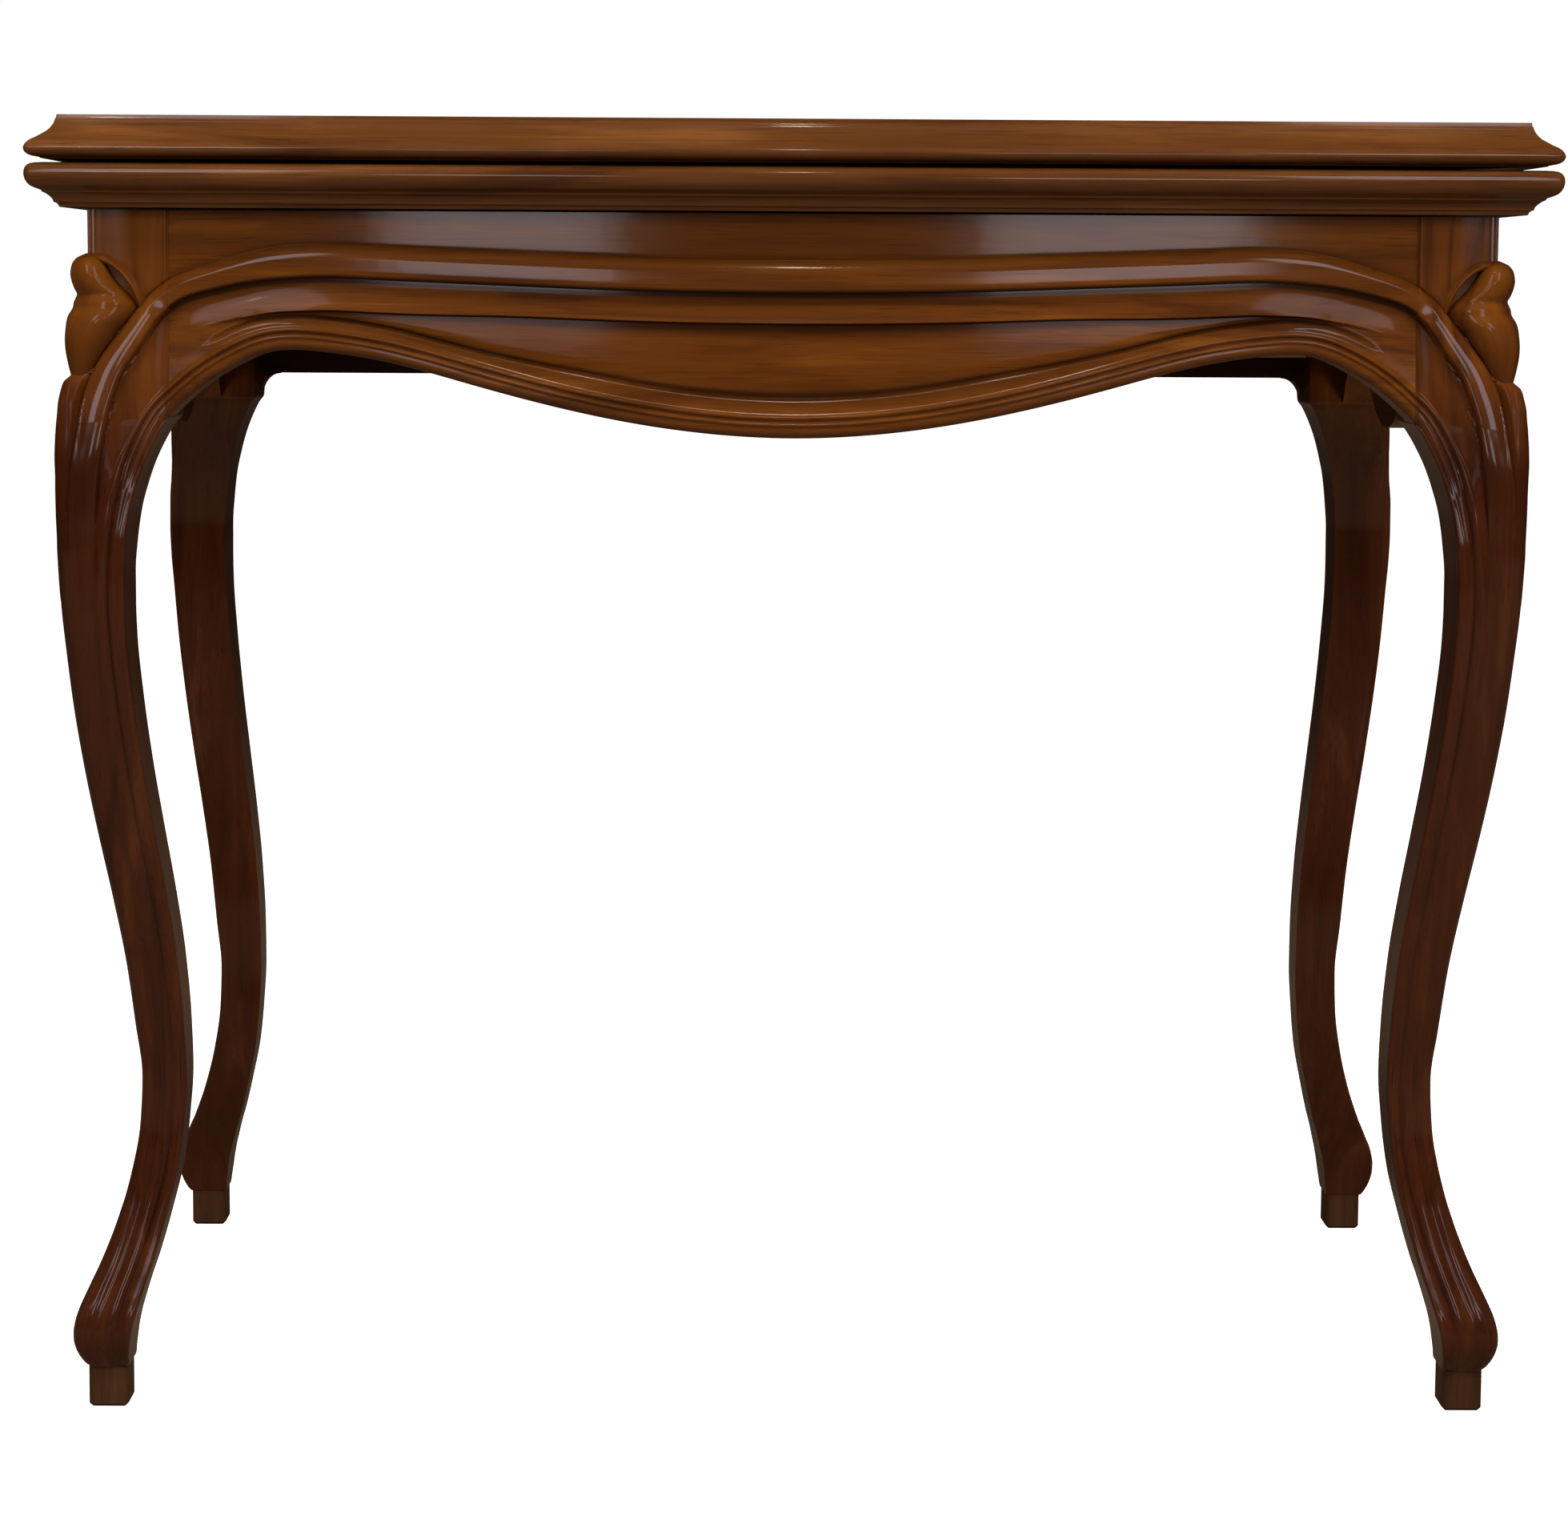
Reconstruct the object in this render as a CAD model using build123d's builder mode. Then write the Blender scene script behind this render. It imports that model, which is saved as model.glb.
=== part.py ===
from build123d import *
import os

os.makedirs("parts", exist_ok=True)

# Overall sizes of the table with its top folded and closed
table_width = 876.0
table_depth = 438.0
table_height = 760.0
cut_overrun = 5.0

# Folding top: two leaves, one on the other, hinged along the back
leaf_thickness = 25.2
fold_gap = 2.2
top_gap = 1.0
cloth_border = 46.0
cloth_recess = 1.3
cloth_thickness = 1.0

# Moulded edge of a leaf, measured in from its nose and from its outer face
edge_inset = 16.2
edge_fillet = 2.8
nose_width = 8.6
cove_foot = 12.1
nose_step = 1.0
nose_depth = 19.6
nose_return = 8.0
cove_hollow = 2.1
nose_swell = 1.4
nose_under_swell = 1.3

# Hinges let into the back edges of the leaves
hinge_length = 64.0
hinge_spacing = 560.0
hinge_plate_height = 17.0
hinge_plate_thickness = 1.5
hinge_barrel_radius = 3.0
hinge_pin_radius = 1.2
hinge_knuckles = 5
knuckle_clearance = 0.3
hinge_edge_clearance = 0.3
pin_clearance = 0.1
hinge_screw_count = 3
hinge_screw_length = 16.0

# Frame under the top
top_overhang = 30.0
post_width = 47.0
rail_recess = 2.0
apron_thickness = 22.0
back_rail_thickness = 20.0
back_rail_depth = 103.0
tenon_thickness = 9.0
tenon_length = 21.0
tenon_height = 80.0
tenon_top_shoulder = 10.0
tenon_fit = 0.1

# Lower outline of the shaped aprons, measured down from the top of the frame
apron_drop = 130.0
apron_crown = 81.0
apron_spring = 119.0
front_arch_reach = 87.0
side_arch_reach = 54.0
arch_outline_shares = [(1.0, 0.0), (0.65, 0.02), (0.44, 0.22), (0.26, 0.47), (0.11, 0.75), (0.0, 1.0)]
drop_outline_shares = [(0.0, 1.0), (0.18, 0.95), (0.35, 0.82), (0.52, 0.62), (0.69, 0.37), (0.86, 0.12)]

# Large bead of the aprons, with the cove under it
bead_crown = 28.6
bead_centre_fall = 7.8
bead_post_fall = 19.5
bead_half_width = 9.8
bead_proud = 6.4
cove_proud = 3.2
cove_width = 17.0
cove_sag_share = 0.3
bead_arch_shares = [(1.0, 0.0), (0.82, 0.04), (0.53, 0.22), (0.25, 0.55), (0.0, 1.0)]
bead_fall_shares = [(0.0, 1.0), (0.32, 0.87), (0.62, 0.5), (0.9, 0.1)]

# Moulded rim along the lower edge of the aprons
rim_width = 21.5
rim_cove_foot = 10.0
rim_proud = 3.4
rim_lip = 1.2
rim_bead = 7.0
rim_sag_share = 0.3
moulding_root = 3.0

# Cabriole leg: how far it leaves the post and how thick it is at each height
leg_bend_height = 560.0
post_start_share = 1.2
post_shares = (0.0, 1.0, 0.0)
knee_reach = 18.0
leg_corner_radius = 7.0
leg_arris_radius = 2.0
pad_height = 25.0
pad_width = 23.4
pad_rounding = 3.0
pad_chamfer = 2.0
leg_shares = [
    (0.066, 0.617, 0.438, 1.0),
    (0.084, 0.717, 0.485, 1.0),
    (0.107, 0.589, 0.562, 1.0),
    (0.146, 0.050, 0.687, 1.0),
    (0.193, -0.478, 0.817, 1.0),
    (0.243, -0.878, 0.936, 1.0),
    (0.293, -1.117, 1.006, 1.0),
    (0.345, -1.183, 1.045, 1.0),
    (0.398, -1.050, 1.030, 1.0),
    (0.470, -0.822, 0.972, 1.0),
    (0.541, -0.483, 0.872, 1.0),
    (0.611, -0.106, 0.755, 1.0),
    (0.680, 0.239, 0.643, 1.0),
    (0.750, 0.528, 0.551, 1.0),
    (0.818, 0.728, 0.487, 1.0),
    (0.886, 0.883, 0.477, 0.98),
    (0.952, 0.961, 0.553, 0.72),
    (1.000, 0.983, 0.713, 0.28),
    (1.022, 0.967, 0.810, 0.10),
    (1.040, 0.940, 0.925, 0.0),
    (1.066, 0.850, 1.000, 0.0),
    (1.095, 0.417, 1.000, 0.0),
    (1.130, 0.090, 1.000, 0.0),
    (1.180, 0.020, 1.000, 0.0),
]
leg_foot_share = 0.36
leg_foot_inner_share = 0.394

# Bead that runs from the apron down the face of the leg
leg_bead_radius = 7.0
leg_bead_sink = 2.6
leg_bead_length = 120.0
leg_bead_fade = 7.4
leg_bead_shares = [
    (1.12, -0.06),
    (0.90, 0.034),
    (0.63, 0.165),
    (0.42, 0.300),
    (0.22, 0.435),
    (0.13, 0.525),
    (0.08, 0.680),
    (0.02, 0.850),
]

# Carved boss and hooded collar on the corner of each post
boss_radius = 15.0
boss_depth = 84.0
boss_top = 24.0
boss_inset = 0.9
boss_shares = [
    (0.0, 0.0),
    (0.55, 0.08),
    (0.86, 0.18),
    (0.80, 0.28),
    (0.70, 0.36),
    (0.90, 0.48),
    (1.0, 0.62),
    (0.8, 0.78),
    (0.45, 0.92),
    (0.0, 1.0),
]
collar_radius = 2.6
collar_reach = 33.0
collar_fall = 24.0
collar_top = 25.0
collar_shares = [(1.0, 1.0), (0.62, 0.4), (0.22, 0.06)]
collar_stand = 3.2

# Pivot that the folded top swivels on
pivot_rail_width = 92.0
pivot_rail_thickness = 26.0
housing_depth = 6.0
pivot_plate_radius = 29.0
pivot_plate_thickness = 3.0
pivot_bolt_radius = 6.0
pivot_head_radius = 10.0
pivot_head_thickness = 3.0
pivot_hole_clearance = 0.1
pivot_tail = 16.0
pivot_bolt_chamfer = 1.0
washer_radius = 15.0
washer_thickness = 2.5
washer_play = 0.4
nut_width = 19.0
nut_thickness = 10.0
pivot_screw_count = 4
pivot_screw_radius_share = 0.72
pivot_screw_length = 14.0
pivot_screw_turn = 45.0

# Peg under the top that runs in a quarter turn groove and stops the swivel
stop_peg_radius = 4.5
stop_peg_chamfer = 0.9
stop_peg_socket = 12.0
stop_peg_reach = 10.0
stop_orbit = 36.0
stop_groove_clearance = 0.6
stop_groove_depth = 12.0

# Compartment for cards and counters inside the frame
tray_length = 350.0
tray_start = 14.0
tray_floor_thickness = 6.0
tray_floor_drop = 60.0
tray_end_thickness = 8.0
tray_end_drop = 6.0
tray_divider_thickness = 7.0
tray_divider_drop = 18.0
tray_divider_rounding = 2.3
tray_cloth_thickness = 1.0
bearer_width = 14.0
bearer_height = 16.0
bearer_chamfer = 2.8

# Glued and screwed corner blocks, and felt strips that the top slides on
block_leg = 74.0
block_height = 42.0
block_drop = 12.0
block_screw_length = 36.0
felt_length = 190.0
felt_width = 12.0
felt_thickness = 0.8
felt_rounding = 2.0
felt_setback = 26.0

# Wood screws
screw_radius = 1.6
screw_head_radius = 3.2
screw_head_height = 1.5

# Places worked out from the sizes above
half_width = table_width / 2
half_depth = table_depth / 2
post_x = half_width - top_overhang
post_y = half_depth - top_overhang
lower_bottom = table_height - 2 * leaf_thickness - fold_gap
lower_top = lower_bottom + leaf_thickness
upper_bottom = table_height - leaf_thickness
fold_level = lower_top + fold_gap / 2
frame_top = lower_bottom - top_gap
hinge_y = half_depth - hinge_barrel_radius
leaf_front = -half_depth
leaf_back = hinge_y - hinge_edge_clearance
leaf_depth = leaf_back - leaf_front
pivot_x = -hinge_y / 2
pivot_y = hinge_y / 2
front_span = post_x - post_width
side_span = post_y - post_width
board_middle = rail_recess + apron_thickness / 2
inner_x = post_x - rail_recess - apron_thickness
inner_front = -(post_y - rail_recess - apron_thickness)
inner_back = post_y - rail_recess - back_rail_thickness
tenon_top = frame_top - tenon_top_shoulder

corner_places = {
    "front_left": (-post_x, -post_y, 0.0),
    "front_right": (post_x, -post_y, 90.0),
    "back_right": (post_x, post_y, 180.0),
    "back_left": (-post_x, post_y, 270.0),
}


# Countersunk wood screw, head face at the origin and shank running down
def wood_screw(length):
    with BuildPart() as screw:
        with BuildSketch(Plane.XZ):
            with BuildLine():
                Polyline(
                    (0, 0),
                    (screw_head_radius, 0),
                    (screw_radius, -screw_head_height),
                    (screw_radius, -(length - screw_head_radius)),
                    (0, -length),
                    close=True,
                )
            make_face()
        revolve(axis=Axis.Z)
    return screw.part


# Outline of a leaf's moulded edge, from its outer face round the nose to its inner face
def moulded_edge(nose, inward, outer, turn):
    def at(inset, depth):
        return (nose + inward * inset, outer + turn * depth)

    side = inward * turn
    Line(at(edge_inset, 0), at(edge_inset, edge_fillet))
    SagittaArc(at(edge_inset, edge_fillet), at(nose_width, cove_foot), -side * cove_hollow)
    Line(at(nose_width, cove_foot), at(nose_width, cove_foot + nose_step))
    SagittaArc(at(nose_width, cove_foot + nose_step), at(0, nose_depth), side * nose_swell)
    SagittaArc(at(0, nose_depth), at(nose_return, leaf_thickness), side * nose_under_swell)


# One leaf, moulded on its front and both ends and square at the hinged back
def leaf_block(outer, turn):
    inner = outer + turn * leaf_thickness
    with BuildPart() as block:
        with BuildSketch(Plane.XZ.offset(-leaf_front)):
            with BuildLine():
                moulded_edge(-half_width, 1, outer, turn)
                Line((-half_width + nose_return, inner), (half_width - nose_return, inner))
                moulded_edge(half_width, -1, outer, turn)
                Line((half_width - edge_inset, outer), (-half_width + edge_inset, outer))
            make_face()
        extrude(amount=-leaf_depth)
        with BuildSketch(Plane.YZ):
            with BuildLine():
                moulded_edge(leaf_front, 1, outer, turn)
                Line((leaf_front + nose_return, inner), (leaf_back, inner))
                Line((leaf_back, inner), (leaf_back, outer))
                Line((leaf_back, outer), (leaf_front + edge_inset, outer))
            make_face()
        extrude(amount=table_width, both=True, mode=Mode.INTERSECT)
        with BuildSketch(Plane.XY.offset(inner - turn * cloth_recess)):
            with Locations((0, (leaf_front + leaf_back) / 2)):
                Rectangle(table_width - 2 * cloth_border, leaf_depth - 2 * cloth_border)
        extrude(amount=turn * (cloth_recess + cut_overrun), mode=Mode.SUBTRACT)
    return block.part


# Playing cloth that lies in the recess of a leaf
def playing_cloth(floor_level, turn):
    with BuildPart() as cloth:
        with BuildSketch(Plane.XY.offset(floor_level)):
            with Locations((0, (leaf_front + leaf_back) / 2)):
                Rectangle(table_width - 2 * cloth_border, leaf_depth - 2 * cloth_border)
        extrude(amount=turn * cloth_thickness)
    return cloth.part


# Hinge layout along the back edge
knuckle_pitch = hinge_length / hinge_knuckles
hinge_places = {"left": -hinge_spacing / 2, "right": hinge_spacing / 2}
plate_reach = hinge_barrel_radius / 2 + hinge_plate_height
screw_pitch = hinge_length / hinge_screw_count


# Plane of the screw heads in the plate of one leaf
def hinge_screw_plane(place_x, turn):
    level = fold_level + turn * (hinge_barrel_radius + plate_reach) / 2
    return Plane(origin=(place_x, leaf_back, level), x_dir=(1, 0, 0), z_dir=(0, 1, 0))


def knuckle_starts(first):
    return [-hinge_length / 2 + n * knuckle_pitch for n in range(first, hinge_knuckles, 2)]


# Half of a butt hinge: a plate in the leaf's back edge with every other knuckle
def hinge_half(place_x, turn):
    first = 0 if turn < 0 else 1
    bore = hinge_pin_radius + (0 if turn < 0 else pin_clearance)
    plate_middle = fold_level + turn * plate_reach / 2
    barrel_plane = Plane(origin=(place_x, hinge_y, fold_level), x_dir=(0, 1, 0), z_dir=(1, 0, 0))
    with BuildPart() as half:
        with BuildSketch(Plane.XZ.offset(-leaf_back)):
            with Locations((place_x, plate_middle)):
                Rectangle(hinge_length, plate_reach)
        extrude(amount=hinge_plate_thickness)
        for start in knuckle_starts(1 - first):
            with BuildSketch(barrel_plane.offset(start - knuckle_clearance)):
                Circle(hinge_barrel_radius + knuckle_clearance)
            extrude(amount=knuckle_pitch + 2 * knuckle_clearance, mode=Mode.SUBTRACT)
        for start in knuckle_starts(first):
            with BuildSketch(barrel_plane.offset(start)):
                Circle(hinge_barrel_radius)
            extrude(amount=knuckle_pitch)
        with BuildSketch(barrel_plane.offset(-hinge_length / 2)):
            Circle(bore)
        extrude(amount=hinge_length, mode=Mode.SUBTRACT)
        with Locations(hinge_screw_plane(place_x, turn)):
            with GridLocations(screw_pitch, 0, hinge_screw_count, 1):
                add(wood_screw(hinge_screw_length), mode=Mode.SUBTRACT)
    return half.part


# All the screws of one leaf's hinge plates
def hinge_screws(turn):
    with BuildPart() as screws:
        for place_x in hinge_places.values():
            with Locations(hinge_screw_plane(place_x, turn)):
                with GridLocations(screw_pitch, 0, hinge_screw_count, 1):
                    add(wood_screw(hinge_screw_length))
    return screws.part


hinge_screws_lower = hinge_screws(-1)
hinge_screws_upper = hinge_screws(1)


# Recesses for the hinge plates and barrels in a leaf's back edge
def hinge_recess(turn):
    with BuildPart() as recess:
        for place_x in hinge_places.values():
            with BuildSketch(Plane.XZ.offset(-leaf_back)):
                with Locations((place_x, fold_level + turn * plate_reach / 2)):
                    Rectangle(hinge_length, plate_reach)
            extrude(amount=hinge_plate_thickness)
            with BuildSketch(Plane.YZ.offset(place_x - hinge_length / 2)):
                with Locations((hinge_y, fold_level)):
                    Circle(hinge_barrel_radius + knuckle_clearance)
            extrude(amount=hinge_length)
    return recess.part


# Upper leaf
with BuildPart() as upper_leaf:
    add(leaf_block(table_height, -1))
    add(hinge_recess(1), mode=Mode.SUBTRACT)
    add(hinge_screws_upper, mode=Mode.SUBTRACT)
upper_leaf.part.label = "upper_leaf"
export_step(upper_leaf.part, "parts/upper_leaf.step")

upper_cloth = playing_cloth(upper_bottom + cloth_recess, -1)
upper_cloth.label = "upper_playing_cloth"
export_step(upper_cloth, "parts/upper_playing_cloth.step")

# Pivot plate in the underside of the lower leaf, with its bolt, washer and nut
pivot_axis_plane = Plane(origin=(pivot_x, pivot_y, lower_bottom), x_dir=(1, 0, 0), z_dir=(0, 0, -1))
plate_seat = lower_bottom + pivot_plate_thickness

with BuildPart() as pivot_plate_screws:
    with Locations(pivot_axis_plane):
        with PolarLocations(pivot_plate_radius * pivot_screw_radius_share, pivot_screw_count, pivot_screw_turn):
            add(wood_screw(pivot_screw_length))
pivot_plate_screws.part.label = "pivot_plate_screws"
export_step(pivot_plate_screws.part, "parts/pivot_plate_screws.step")

with BuildPart() as pivot_plate:
    with BuildSketch(Plane.XY.offset(lower_bottom)):
        with Locations((pivot_x, pivot_y)):
            Circle(pivot_plate_radius)
            Circle(pivot_bolt_radius, mode=Mode.SUBTRACT)
    extrude(amount=pivot_plate_thickness)
    add(pivot_plate_screws.part, mode=Mode.SUBTRACT)
pivot_plate.part.label = "pivot_plate"
export_step(pivot_plate.part, "parts/pivot_plate.step")

rail_bottom = frame_top - pivot_rail_thickness
washer_top = rail_bottom - washer_play
nut_top = washer_top - washer_thickness
bolt_end = rail_bottom - pivot_tail

with BuildPart() as pivot_bolt:
    with BuildSketch(Plane.XY.offset(bolt_end)):
        with Locations((pivot_x, pivot_y)):
            Circle(pivot_bolt_radius)
    extrude(amount=plate_seat - bolt_end)
    with BuildSketch(Plane.XY.offset(plate_seat)):
        with Locations((pivot_x, pivot_y)):
            Circle(pivot_head_radius)
    extrude(amount=pivot_head_thickness)
    chamfer(pivot_bolt.faces().sort_by(Axis.Z)[0].edges(), pivot_bolt_chamfer)
pivot_bolt.part.label = "pivot_bolt"
export_step(pivot_bolt.part, "parts/pivot_bolt.step")

with BuildPart() as pivot_washer:
    with BuildSketch(Plane.XY.offset(nut_top)):
        with Locations((pivot_x, pivot_y)):
            Circle(washer_radius)
            Circle(pivot_bolt_radius, mode=Mode.SUBTRACT)
    extrude(amount=washer_thickness)
pivot_washer.part.label = "pivot_washer"
export_step(pivot_washer.part, "parts/pivot_washer.step")

with BuildPart() as pivot_nut:
    with BuildSketch(Plane.XY.offset(nut_top - nut_thickness)):
        with Locations((pivot_x, pivot_y)):
            RegularPolygon(nut_width / 2, 6, major_radius=False)
            Circle(pivot_bolt_radius, mode=Mode.SUBTRACT)
    extrude(amount=nut_thickness)
pivot_nut.part.label = "pivot_nut"
export_step(pivot_nut.part, "parts/pivot_nut.step")

# Stop peg, set in the lower leaf and hanging into the groove of the pivot rail
with BuildPart() as stop_peg:
    with BuildSketch(Plane.XY.offset(frame_top - stop_peg_reach)):
        with Locations((pivot_x, pivot_y - stop_orbit)):
            Circle(stop_peg_radius)
    extrude(amount=stop_peg_reach + top_gap + stop_peg_socket)
    chamfer(stop_peg.faces().sort_by(Axis.Z)[0].edges(), stop_peg_chamfer)
stop_peg.part.label = "stop_peg"
export_step(stop_peg.part, "parts/stop_peg.step")

# Lower leaf
with BuildPart() as lower_leaf:
    add(leaf_block(lower_bottom, 1))
    add(hinge_recess(-1), mode=Mode.SUBTRACT)
    add(hinge_screws_lower, mode=Mode.SUBTRACT)
    with BuildSketch(Plane.XY.offset(lower_bottom)):
        with Locations((pivot_x, pivot_y)):
            Circle(pivot_plate_radius)
    extrude(amount=pivot_plate_thickness, mode=Mode.SUBTRACT)
    with BuildSketch(Plane.XY.offset(plate_seat)):
        with Locations((pivot_x, pivot_y)):
            Circle(pivot_head_radius)
    extrude(amount=pivot_head_thickness, mode=Mode.SUBTRACT)
    with BuildSketch(Plane.XY.offset(lower_bottom)):
        with Locations((pivot_x, pivot_y - stop_orbit)):
            Circle(stop_peg_radius)
    extrude(amount=stop_peg_socket, mode=Mode.SUBTRACT)
    add(pivot_plate_screws.part, mode=Mode.SUBTRACT)
lower_leaf.part.label = "lower_leaf"
export_step(lower_leaf.part, "parts/lower_leaf.step")

lower_cloth = playing_cloth(lower_top - cloth_recess, 1)
lower_cloth.label = "lower_playing_cloth"
export_step(lower_cloth, "parts/lower_playing_cloth.step")

hinge_screws_lower.label = "lower_hinge_screws"
export_step(hinge_screws_lower, "parts/lower_hinge_screws.step")
hinge_screws_upper.label = "upper_hinge_screws"
export_step(hinge_screws_upper, "parts/upper_hinge_screws.step")

for side, place_x in hinge_places.items():
    fixed_half = hinge_half(place_x, -1)
    fixed_half.label = side + "_hinge_fixed_plate"
    export_step(fixed_half, "parts/" + fixed_half.label + ".step")
    lifting_half = hinge_half(place_x, 1)
    lifting_half.label = side + "_hinge_lifting_plate"
    export_step(lifting_half, "parts/" + lifting_half.label + ".step")
    with BuildPart() as hinge_pin:
        with BuildSketch(Plane.YZ.offset(place_x - hinge_length / 2)):
            with Locations((hinge_y, fold_level)):
                Circle(hinge_pin_radius)
        extrude(amount=hinge_length)
    hinge_pin.part.label = side + "_hinge_pin"
    export_step(hinge_pin.part, "parts/" + hinge_pin.part.label + ".step")


# Tenons on both ends of a rail, on the rail's own face plane
def rail_tenons(face_plane, half_span, thickness):
    with BuildPart() as tenons:
        with BuildSketch(face_plane.offset(-(thickness + tenon_thickness) / 2)):
            for end in (-1, 1):
                with Locations((end * (half_span + tenon_length / 2), tenon_top - tenon_height / 2)):
                    Rectangle(tenon_length, tenon_height)
        extrude(amount=tenon_thickness)
    return tenons.part


# Half of a curve from the table of places beside the post and the table across the middle
def curve_points(half_span, arch_reach, arch_shares, middle_shares, crown, post_fall, middle_fall):
    middle_span = half_span - arch_reach
    points = []
    for across, fall in middle_shares:
        points.append((across * middle_span, crown - fall * middle_fall))
    for across, fall in arch_shares:
        points.append((half_span - across * arch_reach, crown - fall * post_fall))
    left_points = [(-x, z) for x, z in points[1:]]
    return list(reversed(points)) + left_points


# Shaped apron: a board with a serpentine lower edge, its rim, and the big bead with a cove under it
def shaped_apron(face_plane, half_span, arch_reach):
    edge_points = curve_points(
        half_span,
        arch_reach,
        arch_outline_shares,
        drop_outline_shares,
        frame_top - apron_crown,
        apron_spring - apron_crown,
        apron_drop - apron_crown,
    )
    bead_points = curve_points(
        half_span,
        arch_reach,
        bead_arch_shares,
        bead_fall_shares,
        frame_top - bead_crown,
        bead_post_fall,
        bead_centre_fall,
    )
    with BuildPart() as apron:
        with BuildSketch(face_plane):
            with BuildLine():
                edge = Spline(*edge_points)
                Polyline(edge @ 1, (-half_span, frame_top), (half_span, frame_top), edge @ 0)
            make_face()
        extrude(amount=-apron_thickness)
        with BuildLine(face_plane) as rim_path:
            Spline(*edge_points)
        rim_line = rim_path.line
        with BuildSketch(Plane(origin=rim_line @ 0, x_dir=face_plane.z_dir, z_dir=rim_line % 0)):
            with BuildLine():
                Line((-moulding_root, 0), (-moulding_root, rim_width))
                Line((-moulding_root, rim_width), (0, rim_width))
                SagittaArc(
                    (0, rim_width),
                    (rim_proud, rim_cove_foot),
                    -rim_sag_share * rim_proud,
                )
                Line((rim_proud, rim_cove_foot), (rim_proud + rim_lip, rim_cove_foot))
                Line((rim_proud + rim_lip, rim_cove_foot), (rim_proud + rim_lip, rim_bead))
                SagittaArc(
                    (rim_proud + rim_lip, rim_bead),
                    (0, 0),
                    rim_sag_share * rim_bead,
                )
                Line((0, 0), (-moulding_root, 0))
            make_face()
        sweep(path=rim_line)
        with BuildLine(face_plane) as bead_path:
            Spline(*bead_points)
        bead_line = bead_path.line
        with BuildSketch(Plane(origin=bead_line @ 0, x_dir=face_plane.z_dir, z_dir=bead_line % 0)):
            with BuildLine():
                Line((-moulding_root, bead_half_width), (0, bead_half_width))
                ThreePointArc((0, bead_half_width), (bead_proud, 0), (0, -bead_half_width))
                SagittaArc(
                    (0, -bead_half_width),
                    (cove_proud, -bead_half_width - cove_width),
                    -cove_sag_share * cove_proud,
                )
                Line(
                    (cove_proud, -bead_half_width - cove_width),
                    (-moulding_root, -bead_half_width - cove_width),
                )
                Line((-moulding_root, -bead_half_width - cove_width), (-moulding_root, bead_half_width))
            make_face()
        sweep(path=bead_line)
        with BuildSketch(face_plane.offset(-apron_thickness)):
            with Locations((0, frame_top / 2)):
                Rectangle(2 * half_span, frame_top)
        extrude(amount=apron_thickness + 2 * bead_proud, mode=Mode.INTERSECT)
        add(rail_tenons(face_plane, half_span, apron_thickness))
    return apron.part


front_plane = Plane(origin=(0, -post_y + rail_recess, 0), x_dir=(1, 0, 0), z_dir=(0, -1, 0))
left_plane = Plane(origin=(-post_x + rail_recess, 0, 0), x_dir=(0, -1, 0), z_dir=(-1, 0, 0))
right_plane = Plane(origin=(post_x - rail_recess, 0, 0), x_dir=(0, 1, 0), z_dir=(1, 0, 0))
back_plane = Plane(origin=(0, post_y - rail_recess, 0), x_dir=(-1, 0, 0), z_dir=(0, 1, 0))

# Pivot rail across the frame, with the bolt hole and the quarter turn stop groove
with BuildPart() as pivot_rail:
    with BuildSketch(Plane.XY.offset(rail_bottom)):
        with Locations((pivot_x, (inner_front + inner_back) / 2)):
            Rectangle(pivot_rail_width, inner_back - inner_front + 2 * housing_depth)
        with Locations((pivot_x, pivot_y)):
            Circle(pivot_bolt_radius + pivot_hole_clearance, mode=Mode.SUBTRACT)
    extrude(amount=pivot_rail_thickness)
    with BuildSketch(Plane.XY.offset(frame_top - stop_groove_depth)):
        SlotArc(
            CenterArc((pivot_x, pivot_y), stop_orbit, 180, 90, mode=Mode.PRIVATE),
            2 * (stop_peg_radius + stop_groove_clearance),
        )
    extrude(amount=stop_groove_depth + cut_overrun, mode=Mode.SUBTRACT)
pivot_rail.part.label = "pivot_rail"
export_step(pivot_rail.part, "parts/pivot_rail.step")

# Corner blocks, each notched round its post and screwed to both rails
block_places = {}
for corner, (corner_x, corner_y, turn) in corner_places.items():
    side_x = 1 if corner_x < 0 else -1
    side_y = 1 if corner_y < 0 else -1
    wall_x = -side_x * inner_x
    wall_y = inner_front if corner_y < 0 else inner_back
    block_places[corner] = (side_x, side_y, wall_x, wall_y)

block_bottom = frame_top - block_drop - block_height
screw_level = block_bottom + block_height / 2
screw_reach = (block_leg + post_width - board_middle) / 2
with BuildPart() as block_screws:
    for corner, (side_x, side_y, wall_x, wall_y) in block_places.items():
        slope = block_leg - screw_reach
        along_x = Plane(
            origin=(wall_x + side_x * slope, wall_y + side_y * screw_reach, screw_level),
            z_dir=(side_x, 0, 0),
        )
        along_y = Plane(
            origin=(wall_x + side_x * screw_reach, wall_y + side_y * slope, screw_level),
            z_dir=(0, side_y, 0),
        )
        with Locations(along_x, along_y):
            add(wood_screw(block_screw_length))
block_screws.part.label = "corner_block_screws"
export_step(block_screws.part, "parts/corner_block_screws.step")

for corner, (side_x, side_y, wall_x, wall_y) in block_places.items():
    with BuildPart() as block:
        with BuildSketch(Plane.XY.offset(block_bottom)):
            with BuildLine():
                Polyline(
                    (wall_x, wall_y),
                    (wall_x + side_x * block_leg, wall_y),
                    (wall_x, wall_y + side_y * block_leg),
                    close=True,
                )
            make_face()
            with Locations((-side_x * post_x, -side_y * post_y)):
                Rectangle(2 * post_width, 2 * post_width, mode=Mode.SUBTRACT)
        extrude(amount=block_height)
        add(block_screws.part, mode=Mode.SUBTRACT)
    block.part.label = corner + "_corner_block"
    export_step(block.part, "parts/" + block.part.label + ".step")

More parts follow.
